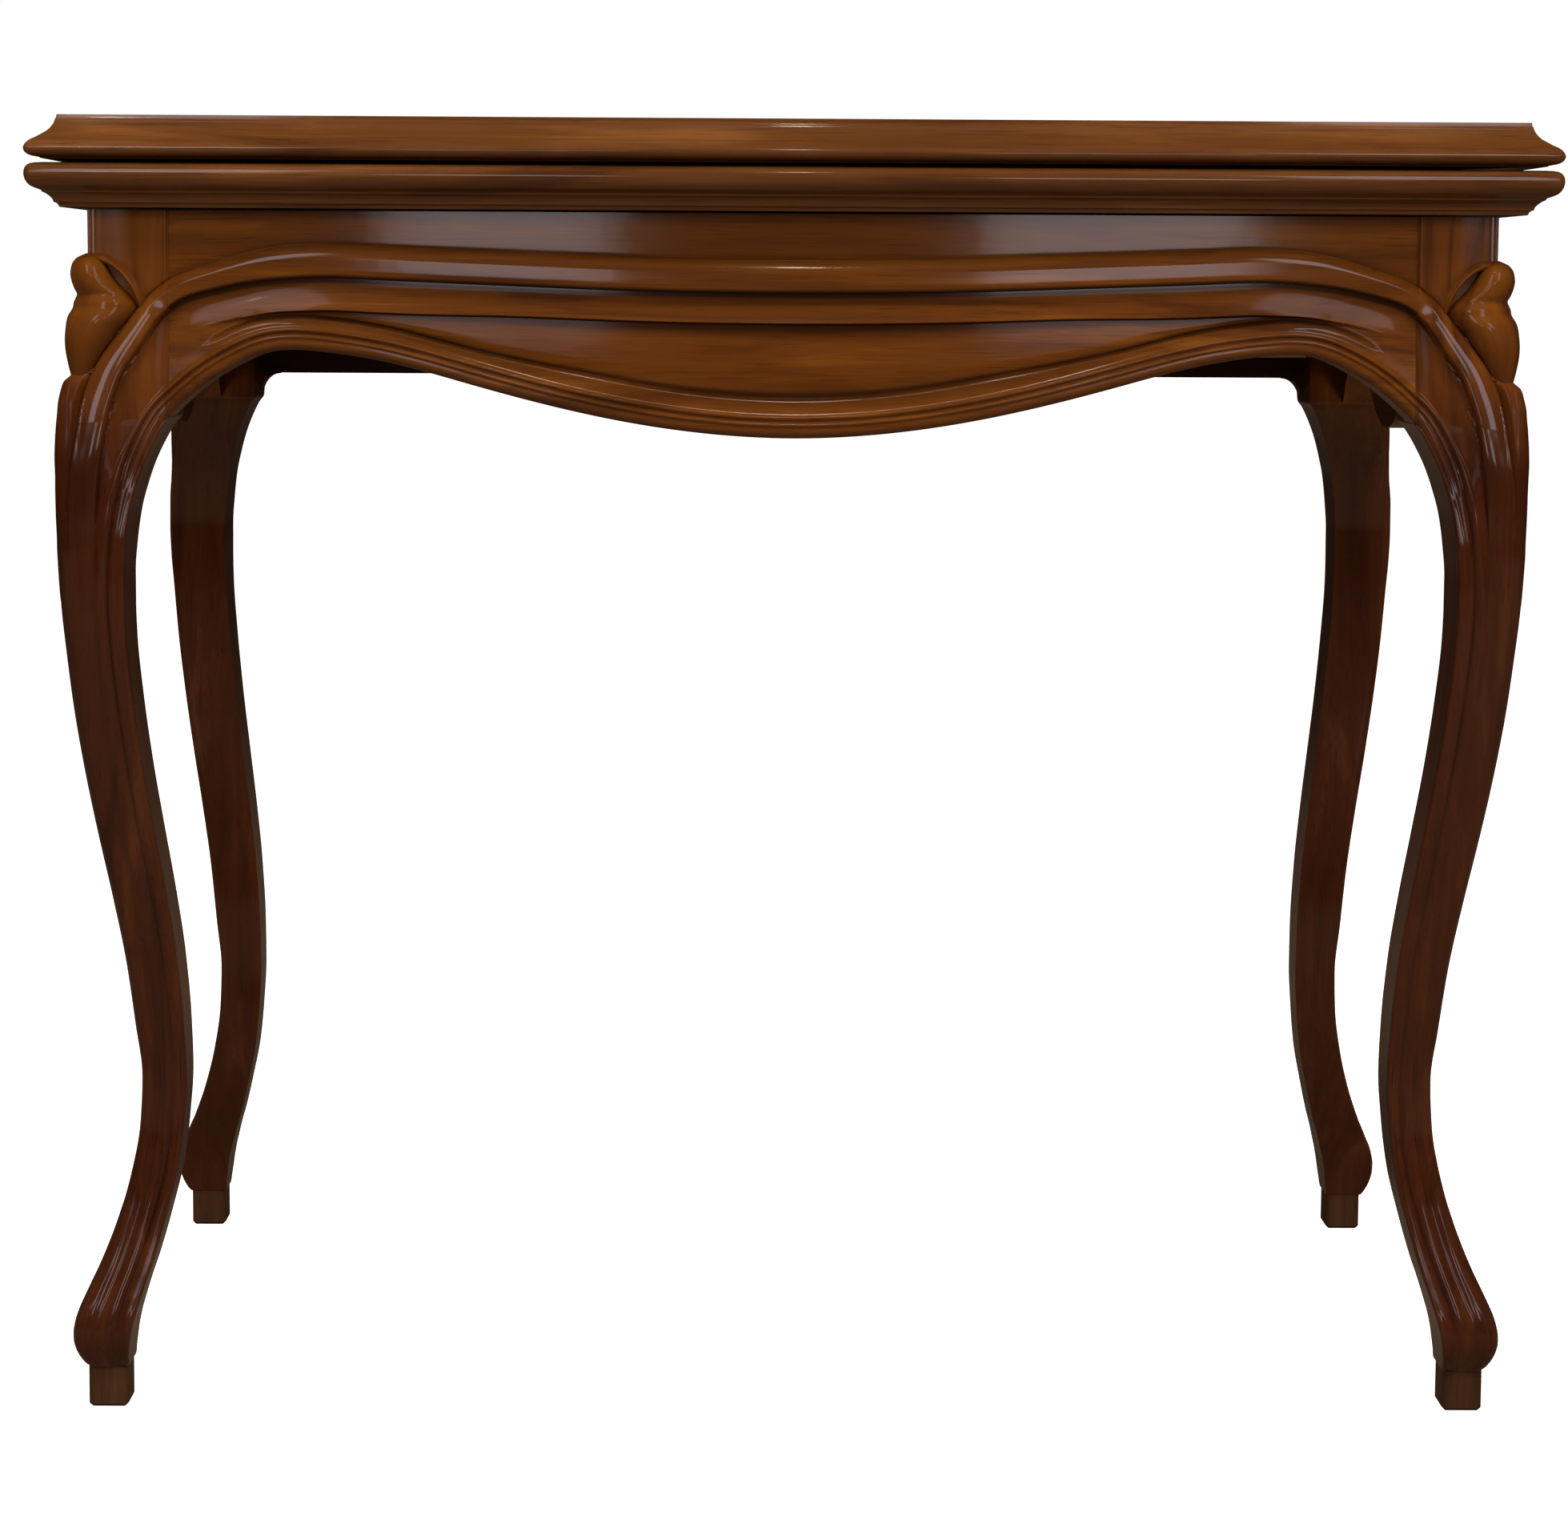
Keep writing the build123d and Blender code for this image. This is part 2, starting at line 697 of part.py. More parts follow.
# The three shaped aprons
aprons = {
    "front_apron": (front_plane, front_span, front_arch_reach),
    "left_apron": (left_plane, side_span, side_arch_reach),
    "right_apron": (right_plane, side_span, side_arch_reach),
}
for name, (face_plane, half_span, arch_reach) in aprons.items():
    with BuildPart() as apron:
        add(shaped_apron(face_plane, half_span, arch_reach))
        add(block_screws.part, mode=Mode.SUBTRACT)
        add(pivot_rail.part, mode=Mode.SUBTRACT)
    apron.part.label = name
    export_step(apron.part, "parts/" + name + ".step")

# Plain straight back rail
with BuildPart() as back_rail:
    with BuildSketch(back_plane):
        with Locations((0, frame_top - back_rail_depth / 2)):
            Rectangle(2 * front_span, back_rail_depth)
    extrude(amount=-back_rail_thickness)
    add(rail_tenons(back_plane, front_span, back_rail_thickness))
    add(block_screws.part, mode=Mode.SUBTRACT)
    add(pivot_rail.part, mode=Mode.SUBTRACT)
back_rail.part.label = "back_rail"
export_step(back_rail.part, "parts/back_rail.step")


# Place of the leg's outer line, inner line and inner face edge at a height, by its table
def leg_lines(height):
    share = height / leg_bend_height
    rows = leg_shares + [(frame_top / leg_bend_height, *post_shares)]
    for low, high in zip(rows, rows[1:]):
        if share <= high[0]:
            part = (share - low[0]) / (high[0] - low[0])
            return [a + part * (b - a) for a, b in zip(low[1:], high[1:])]
    return post_shares


# Square section of the leg with a well rounded outer corner
def leg_section(height, outer_share, inner_share, face_share):
    outer = -outer_share * knee_reach
    inner = inner_share * post_width
    face = outer * face_share
    with BuildSketch(Plane.XY.offset(height)) as section:
        with BuildLine():
            FilletPolyline(
                (outer, outer),
                (inner, face),
                (inner, inner),
                (face, inner),
                radius=[leg_corner_radius, leg_arris_radius, leg_arris_radius, leg_arris_radius],
                close=True,
            )
        make_face()
    return section.sketch


leg_top_share = leg_shares[-1][0]
post_bottom = leg_bend_height * post_start_share
bead_start = frame_top - bead_crown - bead_post_fall

boss_plane = Plane(origin=(boss_inset, boss_inset, frame_top - boss_top), x_dir=(1, 0, 0), z_dir=(0, -1, 0))
collar_level = frame_top - collar_top

# Cabriole leg and its post in one piece, with the outer corner of the post at the origin
with BuildPart() as leg:
    add(leg_section(pad_height, leg_foot_share, leg_foot_inner_share, 1.0))
    for height_share, outer_share, inner_share, face_share in leg_shares:
        add(leg_section(height_share * leg_bend_height, outer_share, inner_share, face_share))
    add(leg_section(post_bottom, *post_shares))
    loft()
    add(leg_section(post_bottom, *post_shares))
    extrude(amount=frame_top - post_bottom)
    for swap in (False, True):
        bead_points = []
        for across, fall in leg_bead_shares:
            height = bead_start - fall * leg_bead_length
            outer_share, inner_share, face_share = leg_lines(height)
            outer = -outer_share * knee_reach
            inner = inner_share * post_width
            face = outer * face_share
            place = across * post_width
            depth = outer + (face - outer) * (place - outer) / (inner - outer) + leg_bead_sink
            bead_points.append((depth, place, height) if swap else (place, depth, height))
        last_x, last_y, last_z = bead_points[-1]
        fade_x = leg_bead_fade if swap else 0
        fade_y = 0 if swap else leg_bead_fade
        bead_points.append((last_x + fade_x, last_y + fade_y, bead_start - leg_bead_length))
        with BuildLine() as bead_path:
            Spline(*bead_points)
        with BuildSketch(Plane(origin=bead_path.line @ 0, z_dir=bead_path.line % 0)):
            Circle(leg_bead_radius)
        sweep(path=bead_path.line)
    with BuildSketch(boss_plane):
        with BuildLine():
            boss_line = Spline(*[(r * boss_radius, -d * boss_depth) for r, d in boss_shares])
            Line(boss_line @ 1, boss_line @ 0)
        make_face()
    revolve(axis=Axis((boss_inset, boss_inset, 0), (0, 0, 1)))
    collar_front = []
    for reach, fall in collar_shares:
        collar_front.append((reach * collar_reach, -collar_stand, collar_level - fall * collar_fall))
    collar_side = [(y, x, z) for x, y, z in reversed(collar_front)]
    with BuildLine() as collar_path:
        Spline(*collar_front, *collar_side)
    with BuildSketch(Plane(origin=collar_path.line @ 0, z_dir=collar_path.line % 0)):
        Circle(collar_radius)
    sweep(path=collar_path.line)
    with BuildSketch(Plane.XY.offset(frame_top - apron_spring)):
        with Locations((post_width + table_depth / 2, 0), (0, post_width + table_depth / 2)):
            Rectangle(table_depth, table_depth)
    extrude(amount=frame_top, mode=Mode.SUBTRACT)
leg_solid = leg.part

# Mortises that take the two rail tenons, sunk into the inner faces of the post
mortise_height = tenon_height + 2 * tenon_fit
mortise_thickness = tenon_thickness + 2 * tenon_fit
mortise_length = tenon_length + tenon_fit
back_board_middle = rail_recess + back_rail_thickness / 2


def mortises(width_line, depth_line):
    with BuildPart() as sockets:
        with BuildSketch(Plane.XY.offset(tenon_top + tenon_fit - mortise_height)):
            with Locations((post_width - mortise_length / 2, width_line)):
                Rectangle(mortise_length, mortise_thickness)
            with Locations((depth_line, post_width - mortise_length / 2)):
                Rectangle(mortise_thickness, mortise_length)
        extrude(amount=mortise_height)
    return sockets.part


# The four legs, each turned to its own corner, and the pads under them
mortise_lines = {
    "front_left": (board_middle, board_middle),
    "front_right": (board_middle, board_middle),
    "back_right": (back_board_middle, board_middle),
    "back_left": (board_middle, back_board_middle),
}
foot_outer = -leg_foot_share * knee_reach
foot_inner = leg_foot_inner_share * post_width
foot_middle = (foot_outer + foot_inner) / 2

with BuildPart() as pad:
    with BuildSketch():
        with Locations((foot_middle, foot_middle)):
            RectangleRounded(pad_width, pad_width, pad_rounding)
    extrude(amount=pad_height)
    chamfer(pad.faces().sort_by(Axis.Z)[0].edges(), pad_chamfer)

for corner, (corner_x, corner_y, turn) in corner_places.items():
    corner_place = Location((corner_x, corner_y, 0), (0, 0, turn))
    with BuildPart() as cabriole_leg:
        add(leg_solid)
        add(mortises(*mortise_lines[corner]), mode=Mode.SUBTRACT)
    placed_leg = cabriole_leg.part.moved(corner_place)
    placed_leg.label = corner + "_leg"
    export_step(placed_leg, "parts/" + placed_leg.label + ".step")
    placed_pad = pad.part.moved(corner_place)
    placed_pad.label = corner + "_foot_pad"
    export_step(placed_pad, "parts/" + placed_pad.label + ".step")

# Compartment: floor on two bearers, two ends, a lengthwise divider and cloth linings
tray_left = pivot_x + pivot_rail_width / 2 + tray_start
tray_middle = tray_left + tray_length / 2
inner_depth = inner_back - inner_front
inner_middle = (inner_front + inner_back) / 2
tray_floor_top = frame_top - tray_floor_drop
tray_floor_bottom = tray_floor_top - tray_floor_thickness
tray_inside = tray_length - 2 * tray_end_thickness

with BuildPart() as tray_floor:
    with BuildSketch(Plane.XY.offset(tray_floor_bottom)):
        with Locations((tray_middle, inner_middle)):
            Rectangle(tray_length, inner_depth)
    extrude(amount=tray_floor_thickness)
tray_floor.part.label = "tray_floor"
export_step(tray_floor.part, "parts/tray_floor.step")

bearer_lines = {
    "front_tray_bearer": inner_front + bearer_width / 2,
    "back_tray_bearer": inner_back - bearer_width / 2,
}
for name, line in bearer_lines.items():
    with BuildPart() as bearer:
        with BuildSketch(Plane.XY.offset(tray_floor_bottom - bearer_height)):
            with Locations((tray_middle, line)):
                Rectangle(tray_length, bearer_width)
        extrude(amount=bearer_height)
        chamfer(bearer.edges().filter_by(Axis.X).group_by(Axis.Z)[0], bearer_chamfer)
    bearer.part.label = name
    export_step(bearer.part, "parts/" + name + ".step")

tray_end_lines = {
    "left_tray_end": tray_left + tray_end_thickness / 2,
    "right_tray_end": tray_left + tray_length - tray_end_thickness / 2,
}
for name, line in tray_end_lines.items():
    with BuildPart() as tray_end:
        with BuildSketch(Plane.XY.offset(tray_floor_top)):
            with Locations((line, inner_middle)):
                Rectangle(tray_end_thickness, inner_depth)
        extrude(amount=tray_floor_drop - tray_end_drop)
    tray_end.part.label = name
    export_step(tray_end.part, "parts/" + name + ".step")

with BuildPart() as tray_divider:
    with BuildSketch(Plane.XY.offset(tray_floor_top)):
        with Locations((tray_middle, inner_middle)):
            Rectangle(tray_inside, tray_divider_thickness)
    extrude(amount=tray_floor_drop - tray_divider_drop)
    fillet(tray_divider.edges().filter_by(Axis.X).group_by(Axis.Z)[-1], tray_divider_rounding)
tray_divider.part.label = "tray_divider"
export_step(tray_divider.part, "parts/tray_divider.step")

lining_width = (inner_depth - tray_divider_thickness) / 2
lining_lines = {
    "front_tray_lining": inner_middle - (tray_divider_thickness + lining_width) / 2,
    "back_tray_lining": inner_middle + (tray_divider_thickness + lining_width) / 2,
}
for name, line in lining_lines.items():
    with BuildPart() as lining:
        with BuildSketch(Plane.XY.offset(tray_floor_top)):
            with Locations((tray_middle, line)):
                Rectangle(tray_inside, lining_width)
        extrude(amount=tray_cloth_thickness)
    lining.part.label = name
    export_step(lining.part, "parts/" + name + ".step")

# Felt strips glued on top of the front apron and the back rail
felt_run = front_span - felt_setback - felt_length / 2
felt_lines = {
    "front": -post_y + rail_recess + apron_thickness / 2,
    "back": post_y - rail_recess - back_rail_thickness / 2,
}
for row, line in felt_lines.items():
    for side, place_x in (("left", -felt_run), ("right", felt_run)):
        with BuildPart() as felt:
            with BuildSketch(Plane.XY.offset(frame_top)):
                with Locations((place_x, line)):
                    RectangleRounded(felt_length, felt_width, felt_rounding)
            extrude(amount=felt_thickness)
        felt.part.label = row + "_" + side + "_felt_strip"
        export_step(felt.part, "parts/" + felt.part.label + ".step")
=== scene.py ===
# %% [markdown]
# # Folding games table
# A games table on four cabriole legs. Its top is two leaves that lie on each other, swivel a quarter turn
# and fold open over a compartment for cards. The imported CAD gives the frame, the joints and the plain
# inside pieces. This script adds the carved and moulded pieces, the finishes and the light.

import bmesh
import bpy
import math
import numpy as np
from mathutils import Matrix, Vector


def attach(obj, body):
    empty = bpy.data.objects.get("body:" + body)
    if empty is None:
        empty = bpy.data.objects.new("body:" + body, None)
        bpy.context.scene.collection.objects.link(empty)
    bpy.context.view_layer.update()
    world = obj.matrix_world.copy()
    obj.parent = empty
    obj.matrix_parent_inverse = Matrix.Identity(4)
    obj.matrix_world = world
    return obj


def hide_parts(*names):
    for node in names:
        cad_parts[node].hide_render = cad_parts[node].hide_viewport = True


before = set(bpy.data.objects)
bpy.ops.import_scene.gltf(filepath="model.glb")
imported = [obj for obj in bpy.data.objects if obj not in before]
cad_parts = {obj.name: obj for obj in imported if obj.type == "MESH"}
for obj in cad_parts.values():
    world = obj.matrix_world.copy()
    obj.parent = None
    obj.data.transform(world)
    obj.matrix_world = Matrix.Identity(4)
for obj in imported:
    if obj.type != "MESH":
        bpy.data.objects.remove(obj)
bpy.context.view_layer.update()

# %% [markdown]
# ## Sizes
# All sizes are in millimetres and repeat those of the CAD source, so that every piece made here lies on
# its solid. The four posts are 47 mm square. The aprons stand 2 mm back from the faces of the posts.

# %% Sizes
MM = 0.001
post_x, post_y, post = 408.0, 189.0, 47.0
frame_top = 706.4
recess = 2.0
apron_thick = 22.0
half_width, half_depth = 438.0, 219.0
leaf_thick, lower_bottom, table_top = 25.2, 707.4, 760.0
leaf_back = 215.7
print("leg to leg", 2 * post_x, "by", 2 * post_y, "mm")

# %% [markdown]
# ## Curves and tables
# A carver works from templates: a few measured places joined by a fair curve. Here a natural cubic spline
# joins places in a plane, and a monotone cubic joins the rows of a table, because it never bulges past
# the rows that it joins.

# %% Curves and tables
def smooth(t):
    """From 0 to 1 with a soft start and end."""
    t = np.clip(t, 0.0, 1.0)
    return t * t * (3 - 2 * t)


def ridge(distance, wide):
    """1 on a line, and softly down to 0 on both sides of it."""
    return np.exp(-((distance / wide) ** 2))


def stepped(marks, counts):
    """Levels from the first mark to the last, with their own count between each two marks."""
    parts = [np.linspace(a, b, n)[:-1] for a, b, n in zip(marks, marks[1:], counts)]
    return np.concatenate(parts + [marks[-1:]])


def natural_spline(points, count):
    """Points along a natural cubic spline through the given points."""
    p = np.asarray(points, float)
    t = np.concatenate([[0], np.cumsum(np.linalg.norm(np.diff(p, axis=0), axis=1))])
    n, h = len(p), np.diff(t)
    a, b = np.eye(n), np.zeros_like(p)
    for i in range(1, n - 1):
        a[i, i - 1], a[i, i], a[i, i + 1] = h[i - 1], 2 * (h[i - 1] + h[i]), h[i]
        b[i] = 6 * ((p[i + 1] - p[i]) / h[i] - (p[i] - p[i - 1]) / h[i - 1])
    m = np.linalg.solve(a, b)
    s = np.linspace(0, t[-1], count)
    k = np.clip(np.searchsorted(t, s, side="right") - 1, 0, n - 2)
    hk, u, v = h[k][:, None], (t[k + 1] - s)[:, None], (s - t[k])[:, None]
    return (
        m[k] * u**3 / (6 * hk)
        + m[k + 1] * v**3 / (6 * hk)
        + (p[k] / hk - m[k] * hk / 6) * u
        + (p[k + 1] / hk - m[k + 1] * hk / 6) * v
    )


def smooth_table(rows, levels):
    """Values of a table at the given levels, with a monotone cubic between its rows."""
    z, v = rows[:, 0], rows[:, 1:]
    h = np.diff(z)[:, None]
    slope = np.diff(v, axis=0) / h
    before, after = slope[:-1], slope[1:]
    tangent = np.zeros_like(v)
    tangent[1:-1] = np.where(before * after > 0, 2 * before * after / (before + after + 1e-12), 0)
    tangent[0], tangent[-1] = slope[0], slope[-1]
    k = np.clip(np.searchsorted(z, levels, side="right") - 1, 0, len(z) - 2)
    t = ((levels - z[k]) / (z[k + 1] - z[k]))[:, None]
    return (
        v[k] * (1 + 2 * t) * (1 - t) ** 2
        + tangent[k] * h[k] * t * (1 - t) ** 2
        + v[k + 1] * t * t * (3 - 2 * t)
        + tangent[k + 1] * h[k] * t * t * (t - 1)
    )


print("soft step at a quarter and at a half", [round(float(smooth(t)), 2) for t in (0.25, 0.5)])


# %% Lines beside lines
def distance_to(line, x, z):
    """Distance of every point to a line, how far along it the nearest place is, and on which side."""
    p = np.stack([x.ravel(), z.ravel()], axis=1)
    a, d = line[:-1], np.diff(line, axis=0)
    length2 = (d**2).sum(axis=1)
    best = np.full(len(p), 1e9)
    along, side = np.zeros(len(p)), np.zeros(len(p))
    for k in range(len(a)):
        to = p - a[k]
        t = np.clip(to @ d[k] / length2[k], 0, 1)
        gap = np.linalg.norm(to - t[:, None] * d[k], axis=1)
        nearer = gap < best
        best[nearer] = gap[nearer]
        along[nearer] = (k + t[nearer]) / len(a)
        side[nearer] = np.sign(d[k][0] * to[nearer, 1] - d[k][1] * to[nearer, 0])
    return best.reshape(x.shape), along.reshape(x.shape), side.reshape(x.shape)


def beside(line, distance):
    """The line that runs beside a line of points at a distance, to its left when it is positive."""
    step = np.gradient(line, axis=0)
    step /= np.linalg.norm(step, axis=1, keepdims=True)
    to_left = np.stack([-step[:, 1], step[:, 0]], axis=1)
    return line + to_left * np.broadcast_to(distance, len(line))[:, None]


def heights_of(line, xs):
    """Heights of a line at places along it, and below, how far out it is at heights."""
    order = np.argsort(line[:, 0])
    return np.interp(xs, line[order, 0], line[order, 1])


def reaches_of(line, zs):
    order = np.argsort(line[:, 1])
    return np.interp(zs, line[order, 1], line[order, 0])


level_line = np.array([[0.0, 0.0], [10.0, 0.0], [20.0, 0.0]])
print("heights of a line 3 mm to the left of a level one", beside(level_line, 3.0)[:, 1])


# %% [markdown]
# ## Mesh helpers
# A carved leg or a moulded apron is one skin over a stack of closed rings. Each ring is a section of the
# piece, and all rings have the same number of points, so the skin is plain quads that follow the carving.
# How hollow or proud each point lies is kept as an attribute. In the colour it gives the hollows painted
# shade with some real stain, and the ridges real wear with a painted highlight.

# %% Mesh helpers
def linked(name, data):
    """A new object for a mesh, a light or a camera, put in the scene."""
    obj = bpy.data.objects.new(name, data)
    bpy.context.scene.collection.objects.link(obj)
    return obj


def mesh_from(bm, name):
    mesh = bpy.data.meshes.new(name)
    bm.to_mesh(mesh)
    bm.free()
    return mesh


def soften(mesh, degrees):
    """Smooth shading that keeps the edges sharper than an angle."""
    mesh.shade_smooth()
    mesh.set_sharp_from_angle(angle=math.radians(degrees))


def add_object(name, verts, faces, wear_and_painted_light=None, polish=None):
    mesh = bpy.data.meshes.new(name)
    mesh.from_pydata((np.asarray(verts) * MM).tolist(), [], faces)
    bm = bmesh.new()
    bm.from_mesh(mesh)
    bmesh.ops.recalc_face_normals(bm, faces=bm.faces)
    bm.to_mesh(mesh)
    bm.free()
    for label, values in (("wear_and_painted_light", wear_and_painted_light), ("polish", polish)):
        if values is not None:
            layer = mesh.attributes.new(label, "FLOAT", "POINT")
            layer.data.foreach_set("value", np.asarray(values, dtype=np.float32))
    soften(mesh, 38)
    return linked(name, mesh)


def ring_faces(rows, columns, start=0):
    """Quads over a stack of closed rings, and a cap on both ends."""
    faces = []
    for r in range(rows - 1):
        a = start + r * columns
        for c in range(columns):
            d = (c + 1) % columns
            faces.append((a + c, a + d, a + columns + d, a + columns + c))
    faces.append(tuple(start + c for c in range(columns)))
    last = start + (rows - 1) * columns
    faces.append(tuple(last + c for c in range(columns)))
    return faces


# Painted shade and highlight: the colour later darkens the hollows and lightens the ridges by this value,
# together with real stain and wear.
def ring_wear_and_painted_light(rings):
    """-1 in hollows and 1 on ridges, from how each point lies to its four neighbours."""
    p = np.asarray(rings, float)
    around = (np.roll(p, 1, axis=1) + np.roll(p, -1, axis=1)) / 2 - p
    along = np.zeros_like(p)
    along[1:-1] = (p[2:] + p[:-2]) / 2 - p[1:-1]
    du = np.roll(p, -1, axis=1) - np.roll(p, 1, axis=1)
    dv = np.gradient(p, axis=0)
    normal = np.cross(du, dv)
    normal /= np.linalg.norm(normal, axis=2, keepdims=True) + 1e-9
    centre = p.mean(axis=1, keepdims=True)
    side = np.sign((normal * (p - centre)).sum(axis=2, keepdims=True))
    step = np.linalg.norm(du, axis=2) / 2 + 0.2
    bend = -((around + 0.3 * along) * normal * side).sum(axis=2) / step**2
    wear_and_painted_light = np.clip(bend * 2.2, -1, 1)
    for _ in range(3):
        wear_and_painted_light = (np.roll(wear_and_painted_light, 1, 1) + np.roll(wear_and_painted_light, -1, 1) + 2 * wear_and_painted_light) / 4
        wear_and_painted_light[1:-1] = (wear_and_painted_light[2:] + wear_and_painted_light[:-2] + 2 * wear_and_painted_light[1:-1]) / 4
    return wear_and_painted_light


# %% [markdown]
# ## Mouldings of the aprons
# The front apron is one board, about 22 mm thick. Its lower edge drops in the middle and springs into the
# legs in two arches. Three mouldings are worked on its face: a big bead that follows a flatter curve than
# the edge, a cove under the bead that ends in a thin arris, and a rim along the edge with two thin fillets.
# Between them lies a sunk lens-shaped field. A profile swept along one path can't give mouldings that
# follow three curves. So each column of the skin crosses the board from top to bottom, and its points sit
# at fixed shares of each moulding, and the ridges run clean from post to post.

# %% Curves of the edge and of the big bead
edge_crown, edge_post_fall, edge_middle_fall = 625.4, 38.0, 49.0
bead_crown, bead_post_fall, bead_middle_fall = 677.8, 19.5, 7.8
edge_shares = [(1.0, 0.0), (0.65, 0.02), (0.44, 0.22), (0.26, 0.47), (0.11, 0.75), (0.0, 1.0)]
drop_shares = [(0.0, 1.0), (0.18, 0.95), (0.35, 0.82), (0.52, 0.62), (0.69, 0.37), (0.86, 0.12)]
bead_arch_shares = [(1.0, 0.0), (0.82, 0.04), (0.53, 0.22), (0.25, 0.55), (0.0, 1.0)]
bead_fall_shares = [(0.0, 1.0), (0.32, 0.87), (0.62, 0.5), (0.9, 0.1)]

# where the curves run on over the leg: how far beyond the end of the board, and height
edge_beyond = [(8.0, 574.0), (13.5, 561.0), (17.5, 548.0), (21.0, 533.0), (23.3, 515.0)]
bead_beyond = [(11.0, 648.0), (17.5, 638.5), (27.0, 622.5)]
edge_heights = edge_crown - edge_middle_fall, edge_crown - edge_post_fall
print("edge in the middle and at a post", edge_heights, "mm high")


def mirrored_curve(half_span, reach, arch, middle, top, post_fall, middle_fall, beyond):
    """A curve over the whole board, from the shares of its right half."""
    span = half_span - reach
    right = [(a * span, top - f * middle_fall) for a, f in middle]
    right += [(half_span - a * reach, top - f * post_fall) for a, f in arch]
    right += [(half_span + x, z) for x, z in beyond]
    left = [(-x, z) for x, z in reversed(right[1:])]
    return natural_spline(left + right, 900)


def edge_curve(half_span, reach):
    falls = (edge_crown, edge_post_fall, edge_middle_fall)
    return mirrored_curve(half_span, reach, edge_shares, drop_shares, *falls, edge_beyond)


def bead_curve(half_span, reach):
    falls = (bead_crown, bead_post_fall, bead_middle_fall)
    return mirrored_curve(half_span, reach, bead_arch_shares, bead_fall_shares, *falls, bead_beyond)


# %% Sections of the mouldings
bead_proud, bead_wide, joint_wide = 6.4, 9.8, 7.0
cove_wide, cove_wider_over_arch = 17.0, 1.6
quirk_above_edge, quirk_nearer_over_arch = 23.6, 4.1
arris_step, quirk_depth, cove_depth = 1.3, 1.5, 0.9
shoulder = [-1, -0.985, -0.96, -0.92]
bead_points = np.concatenate([shoulder, np.linspace(-0.86, 0.86, 21), [-s for s in reversed(shoulder)]])

# the rim with its two fillets: height above the edge, and how proud it stands
rim_knots = [
    (13.5, 3), (13.1, 3.3), (12.9, 3.9), (12.2, 4.4), (11.4, 4.4), (10.7, 3.9), (10.4, 3.1),
    (9.7, 2.8), (9, 3.2), (8.8, 4), (8.2, 4.6), (7.4, 4.7), (6.7, 4.3), (6.4, 3.8),
    (5.9, 3.7), (4.6, 4), (3, 3.7), (1.6, 2.8), (0.5, 1.2), (0, 0),
]
rim_place = np.array([k[0] for k in rim_knots])
rim_out = np.array([k[1] for k in rim_knots])
rim_start = rim_place[0]

# the slope from the quirk up to the rim: share of the way, and how proud it stands
slope_share = [0, 0.06, 0.13, 0.3, 0.6, 0.85, 1]
slope_out = [-1.5, -1.1, 0.8, 1.5, 1.9, 2.35, 3.0]
print("bead", 2 * bead_wide, "mm wide and", bead_proud, "mm proud, rim", rim_start, "mm high")


def crown(s):
    """The big bead, s from -1 at its upper edge to 1: a gentle slope, then flat to a quick shoulder."""
    slope = 0.55 * (np.clip(-0.2 - s, 0, 1) / 0.8) ** 1.5
    return (1 - slope) * np.clip(1 - np.abs(s) ** 11, 0, 1) ** 0.5


def one_cove(t):
    """The smooth hollow between bead and rim where the sunk field has run out, t from bead to rim."""
    return -cove_depth + 3.9 * np.clip(t, 0, 1) ** 0.95


# %% Heights of the mouldings along a board
# distances from the post: where the sunk field ends, the length over which it opens, and where the slope
# under it begins to narrow and the hollow to run out into the plain cove
field_end, field_opens, narrow_from, run_out_from = 19, 62, 95, 30
arris_proud = 3.2


def board_levels(half_span, reach, xs):
    """Heights of every moulding at each place along the board, and how open its field is there."""
    edge, bead = edge_curve(half_span, reach), bead_curve(half_span, reach)
    half = bead_wide - (bead_wide - joint_wide) * smooth((np.abs(bead[:, 0]) - (half_span - 75)) / 75)
    over_arch = smooth((np.abs(bead[:, 0]) / half_span - 0.4) / 0.25)
    bead_top = heights_of(beside(bead, half), xs)
    bead_low = heights_of(beside(bead, -half), xs)
    arris = heights_of(beside(bead, -half - cove_wide - cove_wider_over_arch * over_arch), xs)
    over_arch = smooth((np.abs(edge[:, 0]) / half_span - 0.3) / 0.3)
    quirk = heights_of(beside(edge, quirk_above_edge - quirk_nearer_over_arch * over_arch), xs)
    foot, rim_top = heights_of(edge, xs), heights_of(beside(edge, rim_start), xs)
    middle, spread = (arris + quirk) / 2, np.maximum(arris - quirk, 3.4) / 2
    arris = np.minimum(middle + spread, bead_low - 6)
    quirk = np.maximum(middle - spread, rim_top + 3)
    to_post = half_span - np.abs(xs)
    field = 1 - (1 - np.clip((to_post - field_end) / field_opens, 0, 1)) ** 1.6
    narrow = smooth((narrow_from - to_post) / 70)
    run_out = smooth((run_out_from - to_post) / 26)
    peak = arris_proud - 1.5 * smooth((narrow_from - to_post) / 72)
    return zip(xs, bead_top, bead_low, arris, quirk, rim_top, foot, field, narrow, run_out, peak)


